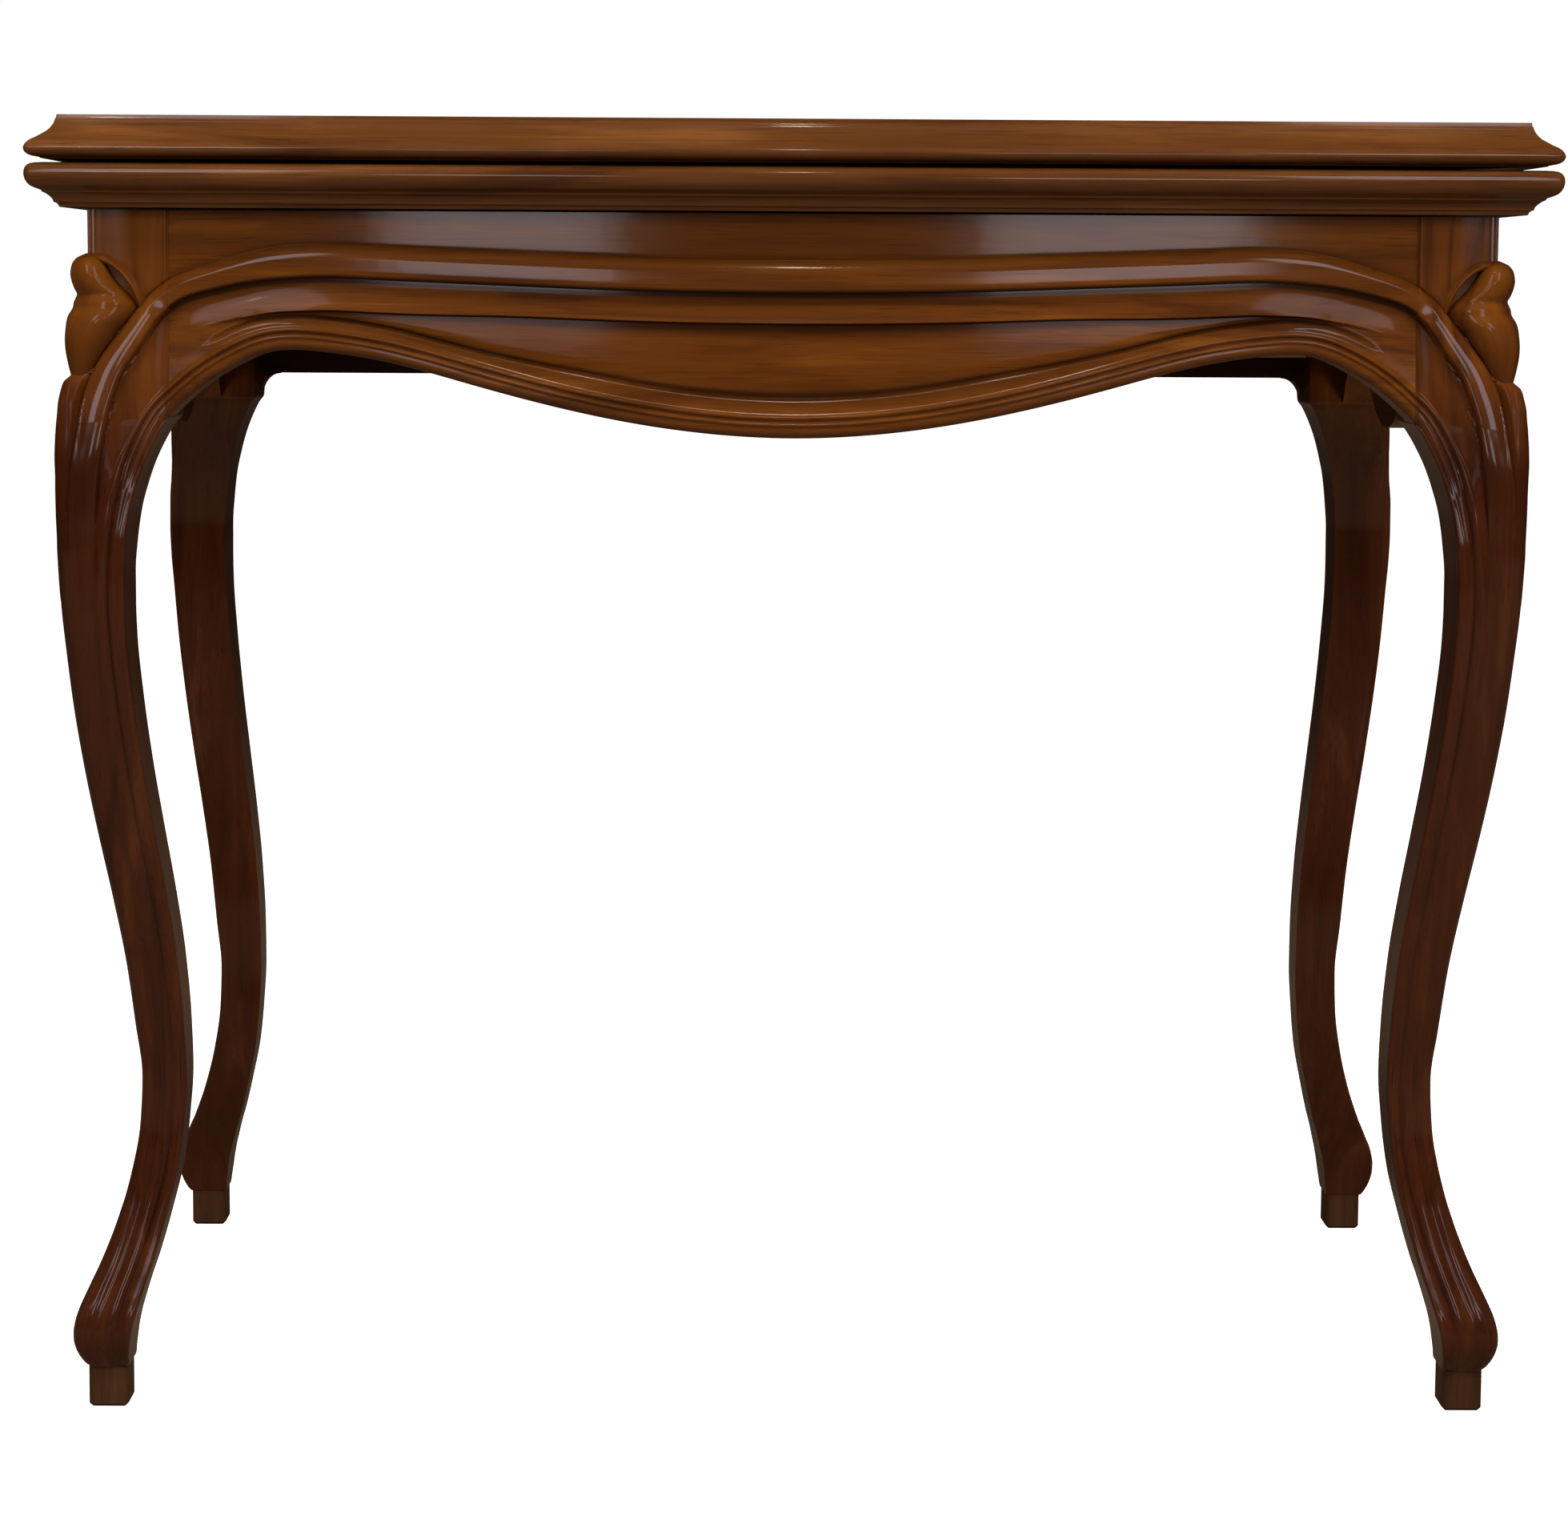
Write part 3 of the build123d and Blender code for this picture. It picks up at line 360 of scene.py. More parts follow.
def below_bead(bead_low, arris, quirk, rim_top, field, narrow, run_out, peak):
    """Heights and reaches of the points of cove, arris, field and slope, from the bead to the rim."""
    gap = arris - quirk
    step = min(arris_step, 0.4 * gap)
    cove = np.linspace(0.015, 1, 14)
    drop = np.array([0.2, 0.45, 0.75, 1.0])
    across = np.array([0.25, 0.5, 0.72, 0.9, 1.0])
    slope = np.array([0.05, 0.11, 0.2, 0.34, 0.5, 0.67, 0.84])
    z = np.concatenate([
        bead_low + (arris - bead_low) * cove,
        arris - step * drop,
        arris - step - (gap - step) * across,
        quirk + (rim_top - quirk) * slope,
    ])
    worked = np.concatenate([
        np.zeros(len(cove)),
        (peak + 0.3) * (1 - smooth(drop)) - 0.3,
        -0.3 * (1 - across) - quirk_depth * ridge((1 - across) * (gap - step), 1.1),
        np.interp(slope * (1 + 2 * narrow), slope_share, slope_out),
    ])
    t = (bead_low - z) / (bead_low - rim_top)
    turn = (bead_low - arris) / (bead_low - rim_top)
    rise = -cove_depth + (peak + cove_depth) * (1 - np.cos(np.clip(t / turn, 0, 1) * math.pi / 2)) ** 1.15
    plain = np.where(t <= turn, rise, peak + (rim_out[0] - peak) * (t - turn) / (1 - turn))
    plain = (1 - run_out) * plain + run_out * one_cove(t)
    sunk = worked - plain
    sunk[: len(cove)] = 0
    sunk = np.where(sunk > 0, sunk * (1 - narrow), sunk)
    return z, plain + field * sunk, step


# %% One ring of a board
back_points = 10


def board_ring(half_span, x, bead_top, bead_low, arris, quirk, rim_top, foot, *field_shape):
    """A closed section across the board, the stain with painted shade, and the polish of its points."""
    field = field_shape[0]
    proud = bead_proud - 0.4 * smooth((abs(x) - half_span + 6) / 6)
    bead_z = (bead_top + bead_low) / 2 - bead_points * (bead_top - bead_low) / 2
    low_z, low_out, step = below_bead(bead_low, arris, quirk, rim_top, *field_shape)
    level = np.concatenate([
        np.linspace(frame_top, bead_top + 1.2, 9),
        bead_z,
        low_z,
        foot + (rim_top - foot) * rim_place / rim_start,
    ])
    out = np.concatenate([[0.0] * 8, [0.12], proud * crown(bead_points), low_out, rim_out])
    ring = [(x, o, h) for o, h in zip(out, level)]
    ring += [(x, -apron_thick * s, foot) for s in (0.12, 0.5, 0.94, 1.0)]
    ring += [(x, -apron_thick, foot + (frame_top - foot) * s) for s in (0.03, 0.5, 0.97, 1.0)]
    ring += [(x, -apron_thick * s, frame_top) for s in (0.6, 0.3)]
    # Painted shade, with some real stain: darker just under the bead, under the step of the arris, in the
    # quirk, and over the slope under the quirk.
    stain_and_painted_shade = 0.95 * ridge(level - bead_low + 0.8, 2.0)
    stain_and_painted_shade = np.maximum(stain_and_painted_shade, 0.8 * field * ridge(level - arris + step + 0.4, 1.2))
    stain_and_painted_shade = np.maximum(stain_and_painted_shade, 0.9 * field * ridge(level - quirk, 1.5))
    stain_and_painted_shade = np.maximum(stain_and_painted_shade, 0.28 * field * np.where(level < quirk, ridge(level - quirk, 6.5), 0))
    sunk_part = smooth((bead_low - level) / 1.5) * smooth((level - quirk + 1.5) / 3)
    panel_part = smooth((level - bead_top) / 1.5)
    polish = 1 - 0.62 * sunk_part - 0.15 * panel_part
    return ring, np.append(stain_and_painted_shade, [0.0] * back_points), np.append(polish, [0.8] * back_points)


def apron_rings(half_span, reach, columns):
    """Sections across a board in its own frame: along it, out from its face, and up."""
    turn = np.linspace(-1, 1, columns) * math.pi / 2 * 0.62
    xs = half_span * np.sin(turn) / math.sin(math.pi / 2 * 0.62)
    made = [board_ring(half_span, *levels) for levels in board_levels(half_span, reach, xs)]
    return [np.array(values) for values in zip(*made)]


# %% Aprons in their places
boards = {
    "front_apron": (361.0, 87.0, 360, (0, -post_y + recess, 0), (1, 0, 0), (0, -1, 0)),
    "left_apron": (142.0, 54.0, 180, (-post_x + recess, 0, 0), (0, -1, 0), (-1, 0, 0)),
    "right_apron": (142.0, 54.0, 180, (post_x - recess, 0, 0), (0, 1, 0), (1, 0, 0)),
}
aprons = {}
for name, (half_span, reach, columns, origin, along, out) in boards.items():
    rings, stain_and_painted_shade, polish = apron_rings(half_span, reach, columns)
    # painted shade in hollows and stained lines, and wear with a painted highlight on ridges
    wear_and_painted_light = np.minimum(ring_wear_and_painted_light(rings), -stain_and_painted_shade + (stain_and_painted_shade < 0.05))
    placed = np.array(origin) + rings @ np.array([along, out, (0, 0, 1)], float)
    verts, faces = placed.reshape(-1, 3), ring_faces(*placed.shape[:2])
    aprons[name] = add_object("moulded_" + name, verts, faces, wear_and_painted_light.ravel(), polish.ravel())
    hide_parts(name)
    print(name, len(aprons[name].data.polygons), "faces")

# %% [markdown]
# ## Cabriole legs
# Each leg and its post are cut from one blank. The knee swings out 17 mm beyond the post, the ankle draws
# in, and the foot turns out again over a small square pad. The big bead leaves the apron, turns down the
# face of the leg and dies out, and the two fillets of the rim run down the inner edge and widen into the
# ribs of the foot. Sculpting would give another leg each time, so the section is made once from tables,
# for half a leg, and mirrored across the corner.

# %% Tables of the leg
# height, reach beyond the post, inner edge, share of the reach at the inner edge
leg_rows = np.array([
    (25, 6.6, 18.5, 1), (27, 8.4, 18.7, 1), (30, 10.2, 18.9, 1), (33, 11.7, 19.2, 1),
    (38, 13.3, 19.8, 1), (43, 14.1, 20.4, 1), (48, 14.1, 21.3, 1), (52, 13.5, 22.1, 1),
    (57, 12.2, 23.4, 1), (62, 10.3, 24.8, 1), (66, 8.3, 25.9, 1), (74, 4.7, 28.3, 1),
    (82, 1, 30.9, 1), (108, -8.5, 37.8, 1), (136, -15.8, 44, 1),
    (164, -20.1, 47.3, 1), (193, -21.3, 49.1, 1), (223, -18.3, 48.4, 1),
    (263, -14, 45.7, 1), (303, -7.8, 41, 1), (342, -1, 35.5, 1),
    (381, 5.2, 30.2, 1), (420, 10.3, 25.9, 1), (458, 13.9, 22.9, 1), (477, 15.5, 22.4, 1),
    (496, 16.5, 22.4, 0.98), (515, 17.1, 23.7, 0.90), (533, 17.3, 26, 0.72),
    (548, 17.7, 29.5, 0.50), (561, 17.7, 33.5, 0.28), (574, 17.4, 39, 0.08),
    (583, 16.9, 43.8, -0.05), (587.4, 16.5, 47, 0), (596, 15.8, 47, 0),
    (603, 14.2, 47, 0), (607.5, 12.5, 47, 0), (611, 9, 47, 0), (616, 5.5, 47, 0),
    (624, 2.5, 47, 0), (640, 1, 47, 0), (655, 0.5, 47, 0), (668, 0, 47, 0),
    (frame_top, 0.0, 47.0, 0.0),
])
post_face, post_bottom = -1.95, 583.0
leg_rows[:, 3] *= leg_rows[:, 1]
leg_rows[leg_rows[:, 0] > post_bottom, 3] = post_face

# height, and depth of the face under the big bead
bead_base = np.array([
    (515, 16.7), (530, 17), (550, 16.7), (565, 15.7), (578, 13.7), (590, 11.2), (600, 8.9),
    (610.0, 6.7), (620.0, 4.6), (632.0, 2.3), (645.0, 0.1), (656.0, -1.5), (664.0, post_face),
    (frame_top, post_face),
])

# height, then the places across the leg, as shares of its width, of the shallow hollow, the upper rib, the
# groove and the lower rib, and then their depth
lane_rows = np.array([
    (25, 0.42, 0.60, 0.73, 0.86, 0.2), (45, 0.42, 0.60, 0.73, 0.86, 0.55),
    (70, 0.42, 0.59, 0.73, 0.86, 1.25), (110, 0.40, 0.56, 0.73, 0.87, 1.15),
    (160, 0.34, 0.51, 0.73, 0.88, 0.9), (223, 0.33, 0.50, 0.73, 0.88, 0.8),
    (303, 0.38, 0.53, 0.72, 0.86, 0.8), (400, 0.45, 0.585, 0.73, 0.82, 0.85),
    (475, 0.50, 0.60, 0.73, 0.83, 0.95), (520, 0.53, 0.70, 0.775, 0.85, 1),
    (540, 0.56, 0.735, 0.80, 0.865, 1), (560, 0.57, 0.77, 0.81, 0.852, 1),
    (600, 0.57, 0.77, 0.81, 0.852, 1),
])
print("rows of the leg tables", len(leg_rows), len(bead_base), len(lane_rows))

# %% Lines on the face of the leg, as reach and height
bead_path = natural_spline(
    [
        (60, 666), (49, 659.3), (42.5, 654.2), (36, 647.5), (29.5, 638.5), (20.6, 626), (14.6, 616.6),
        (10.3, 605.9), (6.8, 594.2), (3.9, 576.5), (0.8, 558), (-1.5, 533), (-3, 505),
    ],
    220,
)
band_line = natural_spline(
    [(3.5, 608.5), (-0.5, 597.7), (-3.6, 578.4), (-6, 558.6), (-7.6, 532.9), (-7.3, 500), (-4.5, 462)], 90
)
leg_edge_line = natural_spline(
    [
        (85.3, 617), (69.6, 607.5), (56.6, 596.9), (47, 587.4), (43.8, 583), (39, 574), (33.5, 561),
        (29.5, 548), (26, 533), (23.7, 515), (22.4, 496), (22.4, 477), (22.9, 458), (25.9, 420),
    ],
    260,
)

# share of the way down the bead, and half its width there
bead_half_table = np.array(
    [(0, 7.6), (0.06, 7), (0.17, 7.1), (0.29, 7.8), (0.37, 8.3), (0.48, 8.3), (0.58, 8), (1, 8)]
)

# share of the way down the bead, and how proud it stands there
bead_out_table = np.array([
    (0, 6.2), (0.06, 5.9), (0.17, 5.6), (0.3, 4.9), (0.42, 4.2), (0.5, 3.5), (0.6, 2.6), (0.75, 1.3),
    (0.9, 0.3), (1, 0),
])
print("bead ends at", round(bead_path[-1, 1]), "mm, inner edge at", round(leg_edge_line[-1, 1]), "mm")

# %% Columns of the leg
# heights where ribs begin to give way to the carving of the knee, where its rim starts, and where it ends
knee_low, rim_low, carving_top = 500, 535, 674
arc_columns, side_columns = 9, 9
lane_counts = [12, 24, 12, 5, 5, 5, 5, 8]
rim_lines = (13.5, 11.8, 9.7, 7.7, 5.9)
heights = stepped([25, 50, 120, 480, 585, 672, frame_top], [16, 32, 92, 100, 124, 12])
leg_table = smooth_table(leg_rows, heights)
lanes = smooth_table(lane_rows, np.clip(heights, 25, 599.9))
outer, inner, face = -leg_table[:, 0], leg_table[:, 1], -leg_table[:, 2]
corner = np.interp(heights, [25, 60, 120, 450, 600, 612, 640, 706], [6.5, 8, 7.5, 8.5, 7, 4, 2.5, 2.0])
arris = np.interp(heights, [25, 70, 500, 583, 592, 706], [2.0, 2.4, 2.4, 1.4, 0.35, 0.35])


def leg_columns():
    """x of every column at every height. The columns gather along the bead, the rim and the ribs."""
    width, last = inner - outer, inner - arris
    half = np.interp(np.linspace(0, 1, len(bead_path)), bead_half_table[:, 0], bead_half_table[:, 1])
    high, on_rim = smooth((heights - 505) / 35), smooth((heights - rim_low) / 30)
    knots = [outer + corner]
    for sign, share in ((-1, 0.22), (1, 0.45)):
        crease = reaches_of(beside(bead_path, sign * half), heights)
        knots.append(high * crease + (1 - high) * (outer + share * width))
    lane_x = [outer + lanes[:, k] * width for k in (1, 2, 3)]
    lane_x = [lane_x[0] - 2.4] + lane_x + [(lane_x[2] + last) / 2]
    for distance, lane in zip(rim_lines, lane_x):
        knots.append(on_rim * reaches_of(beside(leg_edge_line, -distance), heights) + (1 - on_rim) * lane)
    knots = np.maximum.accumulate(np.array(knots), axis=0)
    for k in range(len(knots)):
        knots[k] = np.minimum(knots[k], last - 0.3 * (len(knots) - k))
        if k:
            knots[k] = np.maximum(knots[k], knots[k - 1] + 0.25)
    knots = np.vstack([knots, last])
    columns = []
    for low_knot, high_knot, count in zip(knots, knots[1:], lane_counts):
        columns += [low_knot + (high_knot - low_knot) * s for s in np.linspace(0, 1, count + 1)[:-1]]
    return np.array(columns + [last]).T, knots


leg_x, leg_knots = leg_columns()
at = np.repeat(heights[:, None], leg_x.shape[1], axis=1)
print("leg columns", leg_x.shape)

# %% The plain face of the leg
near, along_bead, side = distance_to(bead_path, leg_x, at)
half = np.interp(along_bead, bead_half_table[:, 0], bead_half_table[:, 1])
proud = np.interp(along_bead, bead_out_table[:, 0], bead_out_table[:, 1])
under = side > 0
# how high the ground beyond the bead lies, as a share of how proud the bead stands
floor_share = 0.6 * (1 - smooth((at - 598) / 30))
outside, inside = outer[:, None], inner[:, None]

# the face of the post turns round its corner, and its edge steps back to the apron
turned = 0.0017 * np.maximum(30.0 - leg_x, 0) ** 2 * smooth((leg_x + 1.0) / 5.0)
upper_face = (turned + recess * smooth((leg_x - 45.2) / 1.7)) * smooth((at - 625) / 30)

# the face under the bead, evened out over a few rings
base = smooth_table(bead_base, np.clip(heights, 515, frame_top - 0.01))
base = np.where(heights < 515, outer, -base[:, 0])
even = np.exp(-((np.arange(-9, 10) / 4.0) ** 2))
base = np.convolve(np.pad(base, 9, mode="edge"), even / even.sum(), mode="valid")[:, None]

# from the bead to the inner edge
crest = np.minimum(reaches_of(bead_path, heights), post)[:, None]
turn = smooth((inside - leg_x) / np.maximum(inside - crest, 12.0))
right = face[:, None] + (base - face[:, None]) * turn

# from the corner to the bead
band_width = np.maximum(leg_knots[1][:, None] - outside - 2.5, 3.0)
band = np.clip((leg_x - outside - 2.5) / band_width, 0, 1) ** 2
rise = (base - floor_share * proud - 0.6 - outside) * band * (1 - smooth((at - 606) / 8))
left = outside + np.where(at < 560, 0, rise) * smooth((at - 555) / 25) + upper_face
beyond = smooth((near - half + 0.8) / np.where(at > 612, 1.6, 5.0)) * smooth((at - 520) / 40)
beyond = np.where(under, 0.0, beyond)
leg_y = np.where(at > carving_top, upper_face, beyond * left + (1 - beyond) * right)
print("knee out", round(-float(outer.min()), 1), "mm, ankle in", round(float(outer.max()), 1), "mm")

# %% Bead, cove, rim and ribs on the leg
section = crown(np.clip(side * near / half, -1, 1))
upper_section = np.where(near < half, floor_share + (1 - floor_share) * section, 0.0)
bead = proud * np.where(under, section, upper_section)
quirk = -np.where(under, 0.9, 0.5) * ridge(near - half, 0.8) * proud / 6.0
from_edge = distance_to(leg_edge_line, leg_x, at)[0]
from_bead, from_rim = np.maximum(near - half, 0), np.maximum(from_edge - rim_start, 0)
cove = one_cove(from_bead / (from_bead + from_rim + 1e-6)) * smooth((at - knee_low) / 80)
rim = np.interp(from_edge, rim_place[::-1], rim_out[::-1])
on_rim = smooth((at - rim_low) / 30)
hollow, upper_rib, groove, lower_rib = (outside + lanes[:, [k]] * (inside - outside) for k in range(4))
ribs = 0.5 * (ridge(leg_x - upper_rib, 2.0) + ridge(leg_x - lower_rib, 1.6))
ribs = (ribs - 1.2 * ridge(leg_x - hollow, 3.2) - 1.5 * ridge(leg_x - groove, 1.3)) * lanes[:, [4]]
faded = ribs * (1 - on_rim)
over_bead = ribs * (1 - smooth((at - 505) / 60))
rim_part = rim * on_rim + faded + 2.0 * smooth((at - knee_low) / 60) * (1 - on_rim)
right_relief = np.where(near < half, over_bead, np.where(from_edge < rim_start, rim_part, cove + faded))
left_relief = np.where(near < half, over_bead, faded)
relief = bead + quirk + np.where(under & (at < carving_top - 2), right_relief, left_relief)
from_band, along_band, _ = distance_to(band_line, leg_x, at)
band_fade = np.clip(along_band * 12, 0, 1) * (1 - smooth((along_band - 0.55) / 0.45))
relief = np.where(at > carving_top, 0, relief + 0.6 * ridge(from_band, 0.9) * band_fade)
leg_y = leg_y - relief
print("carving from", round(float(relief.min()), 1), "to", round(float(relief.max()), 1), "mm proud")

# %% Polish of the leg
# the varnish is thinner in the cove and beside the bead, where no cloth ever rubs it
open_part = np.where(under, smooth((from_edge - rim_start + 1) / 2), smooth((612 - at) / 4))
thin = np.where(under, 0.86, 0.72) * smooth((near - half + 0.6) / 1.2) * open_part
half_polish = 1 - thin * smooth((at - knee_low) / 50)
half_polish = np.hstack([
    np.repeat(half_polish[:, :1], arc_columns - 1, axis=1),
    half_polish,
    np.repeat(half_polish[:, -1:], side_columns + 3, axis=1),
])
leg_polish = np.hstack([half_polish, half_polish[:, ::-1][:, 1:-1]])
print("thinnest varnish on the leg", round(float(leg_polish.min()), 2))


# %% Closed rings of the leg
def leg_ring(i):
    """The round corner, the face, the arris and the inner side at one height, mirrored into a ring."""
    points, middle = [], outer[i] + corner[i]
    for a in np.linspace(math.radians(45), 0, arc_columns)[:-1]:
        fade = (leg_y[i, 0] - outer[i]) * (1 - a / math.radians(45))
        points.append((middle - corner[i] * math.sin(a), middle - corner[i] * math.cos(a) + fade))
    points += list(zip(leg_x[i], leg_y[i]))
    end_x, end_y, r = leg_x[i, -1], leg_y[i, -1], arris[i]
    for a in np.linspace(0, math.radians(90), 5)[1:]:
        points.append((end_x + r * math.sin(a), end_y + r * (1 - math.cos(a))))
    for t in np.linspace(0, 1, side_columns)[1:]:
        points.append((inner[i], end_y + r + (inner[i] - end_y - r) * t))
    points = np.array(points)
    ring = np.concatenate([points, points[::-1][1:-1][:, ::-1]])
    return np.column_stack([ring, np.full(len(ring), heights[i])])


leg_skin = np.array([leg_ring(i) for i in range(len(heights))])
# painted shade in the hollows of the leg and a painted highlight with wear on its ridges
leg_wear_and_painted_light = ring_wear_and_painted_light(leg_skin)
print("leg skin", leg_skin.shape)

# %% [markdown]
# ## Boss and hood
# The corner of each post carries a carved boss under a hooded collar. The boss is a smooth leaf-shaped
# knob that wraps round the corner, and each of its level sections is close to a circle. The collar is a
# rounded roll that starts at the bead, climbs over the boss and comes down the other face, with a second
# thin line under it. Both are skins of their own that sink into the post, like the ridges that a carver
# leaves standing when the ground round them is cut away.

# %% Boss
# height, how far inside the corner the centre lies, and radius
boss_rows = np.array([
    (606.5, -4.8, 1), (609, -3.8, 4.3), (613.4, -3, 6.6), (618, -2.3, 8.5), (624, -1.3, 10.8),
    (631, 0.7, 13.7), (638, 3.4, 16.4), (645, 7.3, 19.6), (651.5, 11.2, 21), (657, 11, 18.7),
    (661, 7.4, 15.9), (666, 4, 13.5), (670, 2.4, 12.1), (675, 1.6, 10.2), (678.6, 1, 6.8),
    (680.3, 0.5, 3), (681, 0, 0.6),
])
boss_heights = stepped([606.5, 616, 675, 681], [12, 56, 12])
boss_table = smooth_table(boss_rows, boss_heights)
boss_angles = np.linspace(0, 2 * math.pi, 84, endpoint=False)
boss_skin = np.array([
    [(c + r * math.cos(a), c + r * math.sin(a), z) for a in boss_angles]
    for z, (c, r) in zip(boss_heights, boss_table)
])
print("boss skin", boss_skin.shape)

# %% Hood
# the line of the lip over the front face, from the bead up to the corner
hood_front = [
    (31.2, 0, 648.5), (30.6, 0, 652.5), (29.2, 0, 657.5), (26.8, 0, 662.8), (21.6, 0, 669.8),
    (14.5, 0, 675.4), (7.5, 0, 678.2), (2, 0, 679.2),
]
hood_side = [(y, x, z) for x, y, z in reversed(hood_front)]
hood_sections = 120
hood_path = natural_spline(hood_front + [(-0.6, -0.6, 679.5)] + hood_side, hood_sections)

# share of the way from the corner to either end of the lip, and how proud it stands there
hood_share = [0, 0.1, 0.25, 0.45, 0.66, 0.82, 0.93, 1.0]
hood_proud = [0.6, 2.4, 5.6, 8.0, 8.4, 6.4, 3.4, 1.0]

# the section of the lip: across it from the upper side, and out from the post as a share of its reach
hood_section = np.array([
    (6, -1.2), (5, 0.02), (4.2, 0.10), (3.4, 0.30), (2.8, 0.55), (2.3, 0.78), (1.75, 0.92), (1.1, 0.985),
    (0.35, 1), (-0.35, 0.97), (-0.8, 0.90), (-0.95, 0.80), (-1, 0.72), (-1.35, 0.70), (-1.75, 0.66),
    (-2, 0.56), (-1.9, 0.40), (-1.6, 0.15), (-1.4, -1.2),
])


def unit(vectors):
    return vectors / np.linalg.norm(vectors, axis=1, keepdims=True)


def hood_rings():
    """The overhanging lip above the boss, swept over the corner with its height rising and falling."""
    along = unit(np.gradient(hood_path, axis=0))
    w = smooth((hood_path[:, 0] - hood_path[:, 1] + 5) / 10)[:, None]
    out = unit(w * np.array([0, -1.0, 0]) + (1 - w) * np.array([-1.0, 0, 0]))
    up = unit(np.cross(along, out))
    proud = np.interp(np.abs(np.linspace(-1, 1, hood_sections)), hood_share, hood_proud)
    rings = []
    for p, o, u, reach in zip(hood_path, out, up, proud):
        wide = 0.25 + 0.40 * min(1.0, reach / 5.0)
        rings.append([p + u * a * wide + o * (b * reach if b > 0 else b) for a, b in hood_section])
    return np.array(rings)


hood_skin = hood_rings()
print("hood skin", hood_skin.shape)

# %% [markdown]
# ## Four legs from one
# The leg is worked out once, for the front left corner, and turned to each of the other corners. The back
# legs also have a small ear under the back rail.

# %% Leg skins in one mesh
def joined(skins, values):
    """The points and faces of several skins, and one value for each point."""
    verts, faces, spread, start = [], [], [], 0
    for skin, value in zip(skins, values):
        rows, columns = skin.shape[:2]
        verts.append(skin.reshape(-1, 3))
        faces += ring_faces(rows, columns, start)
        spread.append(np.broadcast_to(value, (rows, columns)).ravel())
        start += rows * columns
    return np.concatenate(verts), faces, np.concatenate(spread)


leg_parts = [leg_skin, boss_skin, hood_skin]
# the boss and the hood take one even value each; the hood is lightened a little, as wear with a painted
# highlight
leg_verts, leg_faces, leg_worn_and_painted_light = joined(leg_parts, [leg_wear_and_painted_light, 0.1, 0.2])
leg_shine = joined(leg_parts, [leg_polish, 0.55, 0.8])[2]
corner_places = {
    "front_left": (-post_x, -post_y, 0.0),
    "front_right": (post_x, -post_y, 90.0),
    "back_right": (post_x, post_y, 180.0),
    "back_left": (-post_x, post_y, 270.0),
}
print("points of one leg", len(leg_verts))


# %% Legs in their places
ear_reach, ear_drop, ear_top, ear_foot = 12.6, 16.0, 603.4, 586.0
ear_sections = (169.0, 178.0, 187.0)


def to_corner(verts, corner):
    x, y, degrees = corner_places[corner]
    c, s = round(math.cos(math.radians(degrees))), round(math.sin(math.radians(degrees)))
    v = np.asarray(verts)
    return np.column_stack([x + c * v[:, 0] - s * v[:, 1], y + s * v[:, 0] + c * v[:, 1], v[:, 2]])


def ear_skin(side):
    """The small ear that a back leg has under the back rail, curving from the rail into the leg."""
    section = [(-1.0, ear_top), (13.0, ear_top)]
    for a in np.linspace(0, math.pi / 2, 12):
        section.append((ear_reach * (1 - math.sin(a)) - 0.4, ear_top - 0.8 - ear_drop * (1 - math.cos(a))))
    section.append((-1.0, ear_foot))
    return np.array([[(side * (post_x - post - x), y, z) for x, z in section] for y in ear_sections])


legs = {}
for corner in corner_places:
    verts, faces, worn_and_painted_light, shine = to_corner(leg_verts, corner), leg_faces, leg_worn_and_painted_light, leg_shine
    if "back" in corner:
        ear = ear_skin(-1 if "left" in corner else 1)
        rows, columns = ear.shape[:2]
        faces = faces + ring_faces(rows, columns, len(verts))
        verts = np.concatenate([verts, ear.reshape(-1, 3)])
        worn_and_painted_light, shine = (np.append(values, np.zeros(rows * columns)) for values in (worn_and_painted_light, shine))
    legs[corner] = add_object("carved_" + corner + "_leg", verts, faces, worn_and_painted_light, shine)
    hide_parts(corner + "_leg")
    print(corner, len(legs[corner].data.polygons), "faces")

# %% [markdown]
# ## Leaves of the top
# Both leaves have the same moulded edge, one the right way up and one upside down: a thin upright band,
# a cove, a small step and a rounded nose. The moulding runs along the front and both ends, round two
# corners that are rounded in plan, and stops at the square hinged back. A border of wood frames the
# recess for the playing cloth. On the real leaf one cutter is run round the edge, so here one profile is
# carried round one outline, and the seats of the hinges are cut out afterwards.

# %% Edge of the leaves
# inset from the nose, and depth from the outer face to the inner face
upper_edge = [
    (16.7, 0), (16.5, 0.15), (16.4, 0.5), (16.2, 2), (15.8, 2.4), (15.5, 3.6), (14.8, 5.4), (13.3, 7.8),
    (11.6, 9.6), (10.3, 10.5), (9.2, 11.3), (6.8, 13), (4.2, 14.5), (2.2, 15.9), (0.9, 17.3), (0.2, 18.6),
    (0, 19.6), (0.25, 20.9), (1, 22.1), (2.4, 23.2), (4.4, 24), (6.6, 24.4), (8.2, 24.7),
    (8.8, leaf_thick),
]
lower_edge = [
    (17.4, 0), (17.2, 0.2), (17, 0.8), (16.6, 1.6), (15.9, 2.3), (15.1, 2.6), (14.6, 2.7), (14.4, 3.3),
    (14.1, 4.4), (12.8, 6), (11, 7.5), (9.7, 8.2), (9.2, 8.3), (9, 9), (8.5, 9.5), (7.4, 9.9),
    (5.4, 10.7), (3.6, 11.7), (2, 13.2), (0.8, 15.1), (0.2, 17), (0, 18.7), (0.2, 20.5), (0.8, 22.1),
    (2, 23.5), (3.8, 24.4), (6, 24.9), (8.4, 25.1), (9, leaf_thick),
]
corner_radius = 4.0
border_wide, recess_deep = 46.0, 1.3


def finer(points):
    """The same profile with a point more in the middle of each long side."""
    fine = [points[0]]
    for a, b in zip(points, points[1:]):
        shares = (0.5, 1.0) if np.linalg.norm(b - a) > 1.5 else (1.0,)
        fine += [a + (b - a) * share for share in shares]
    return fine


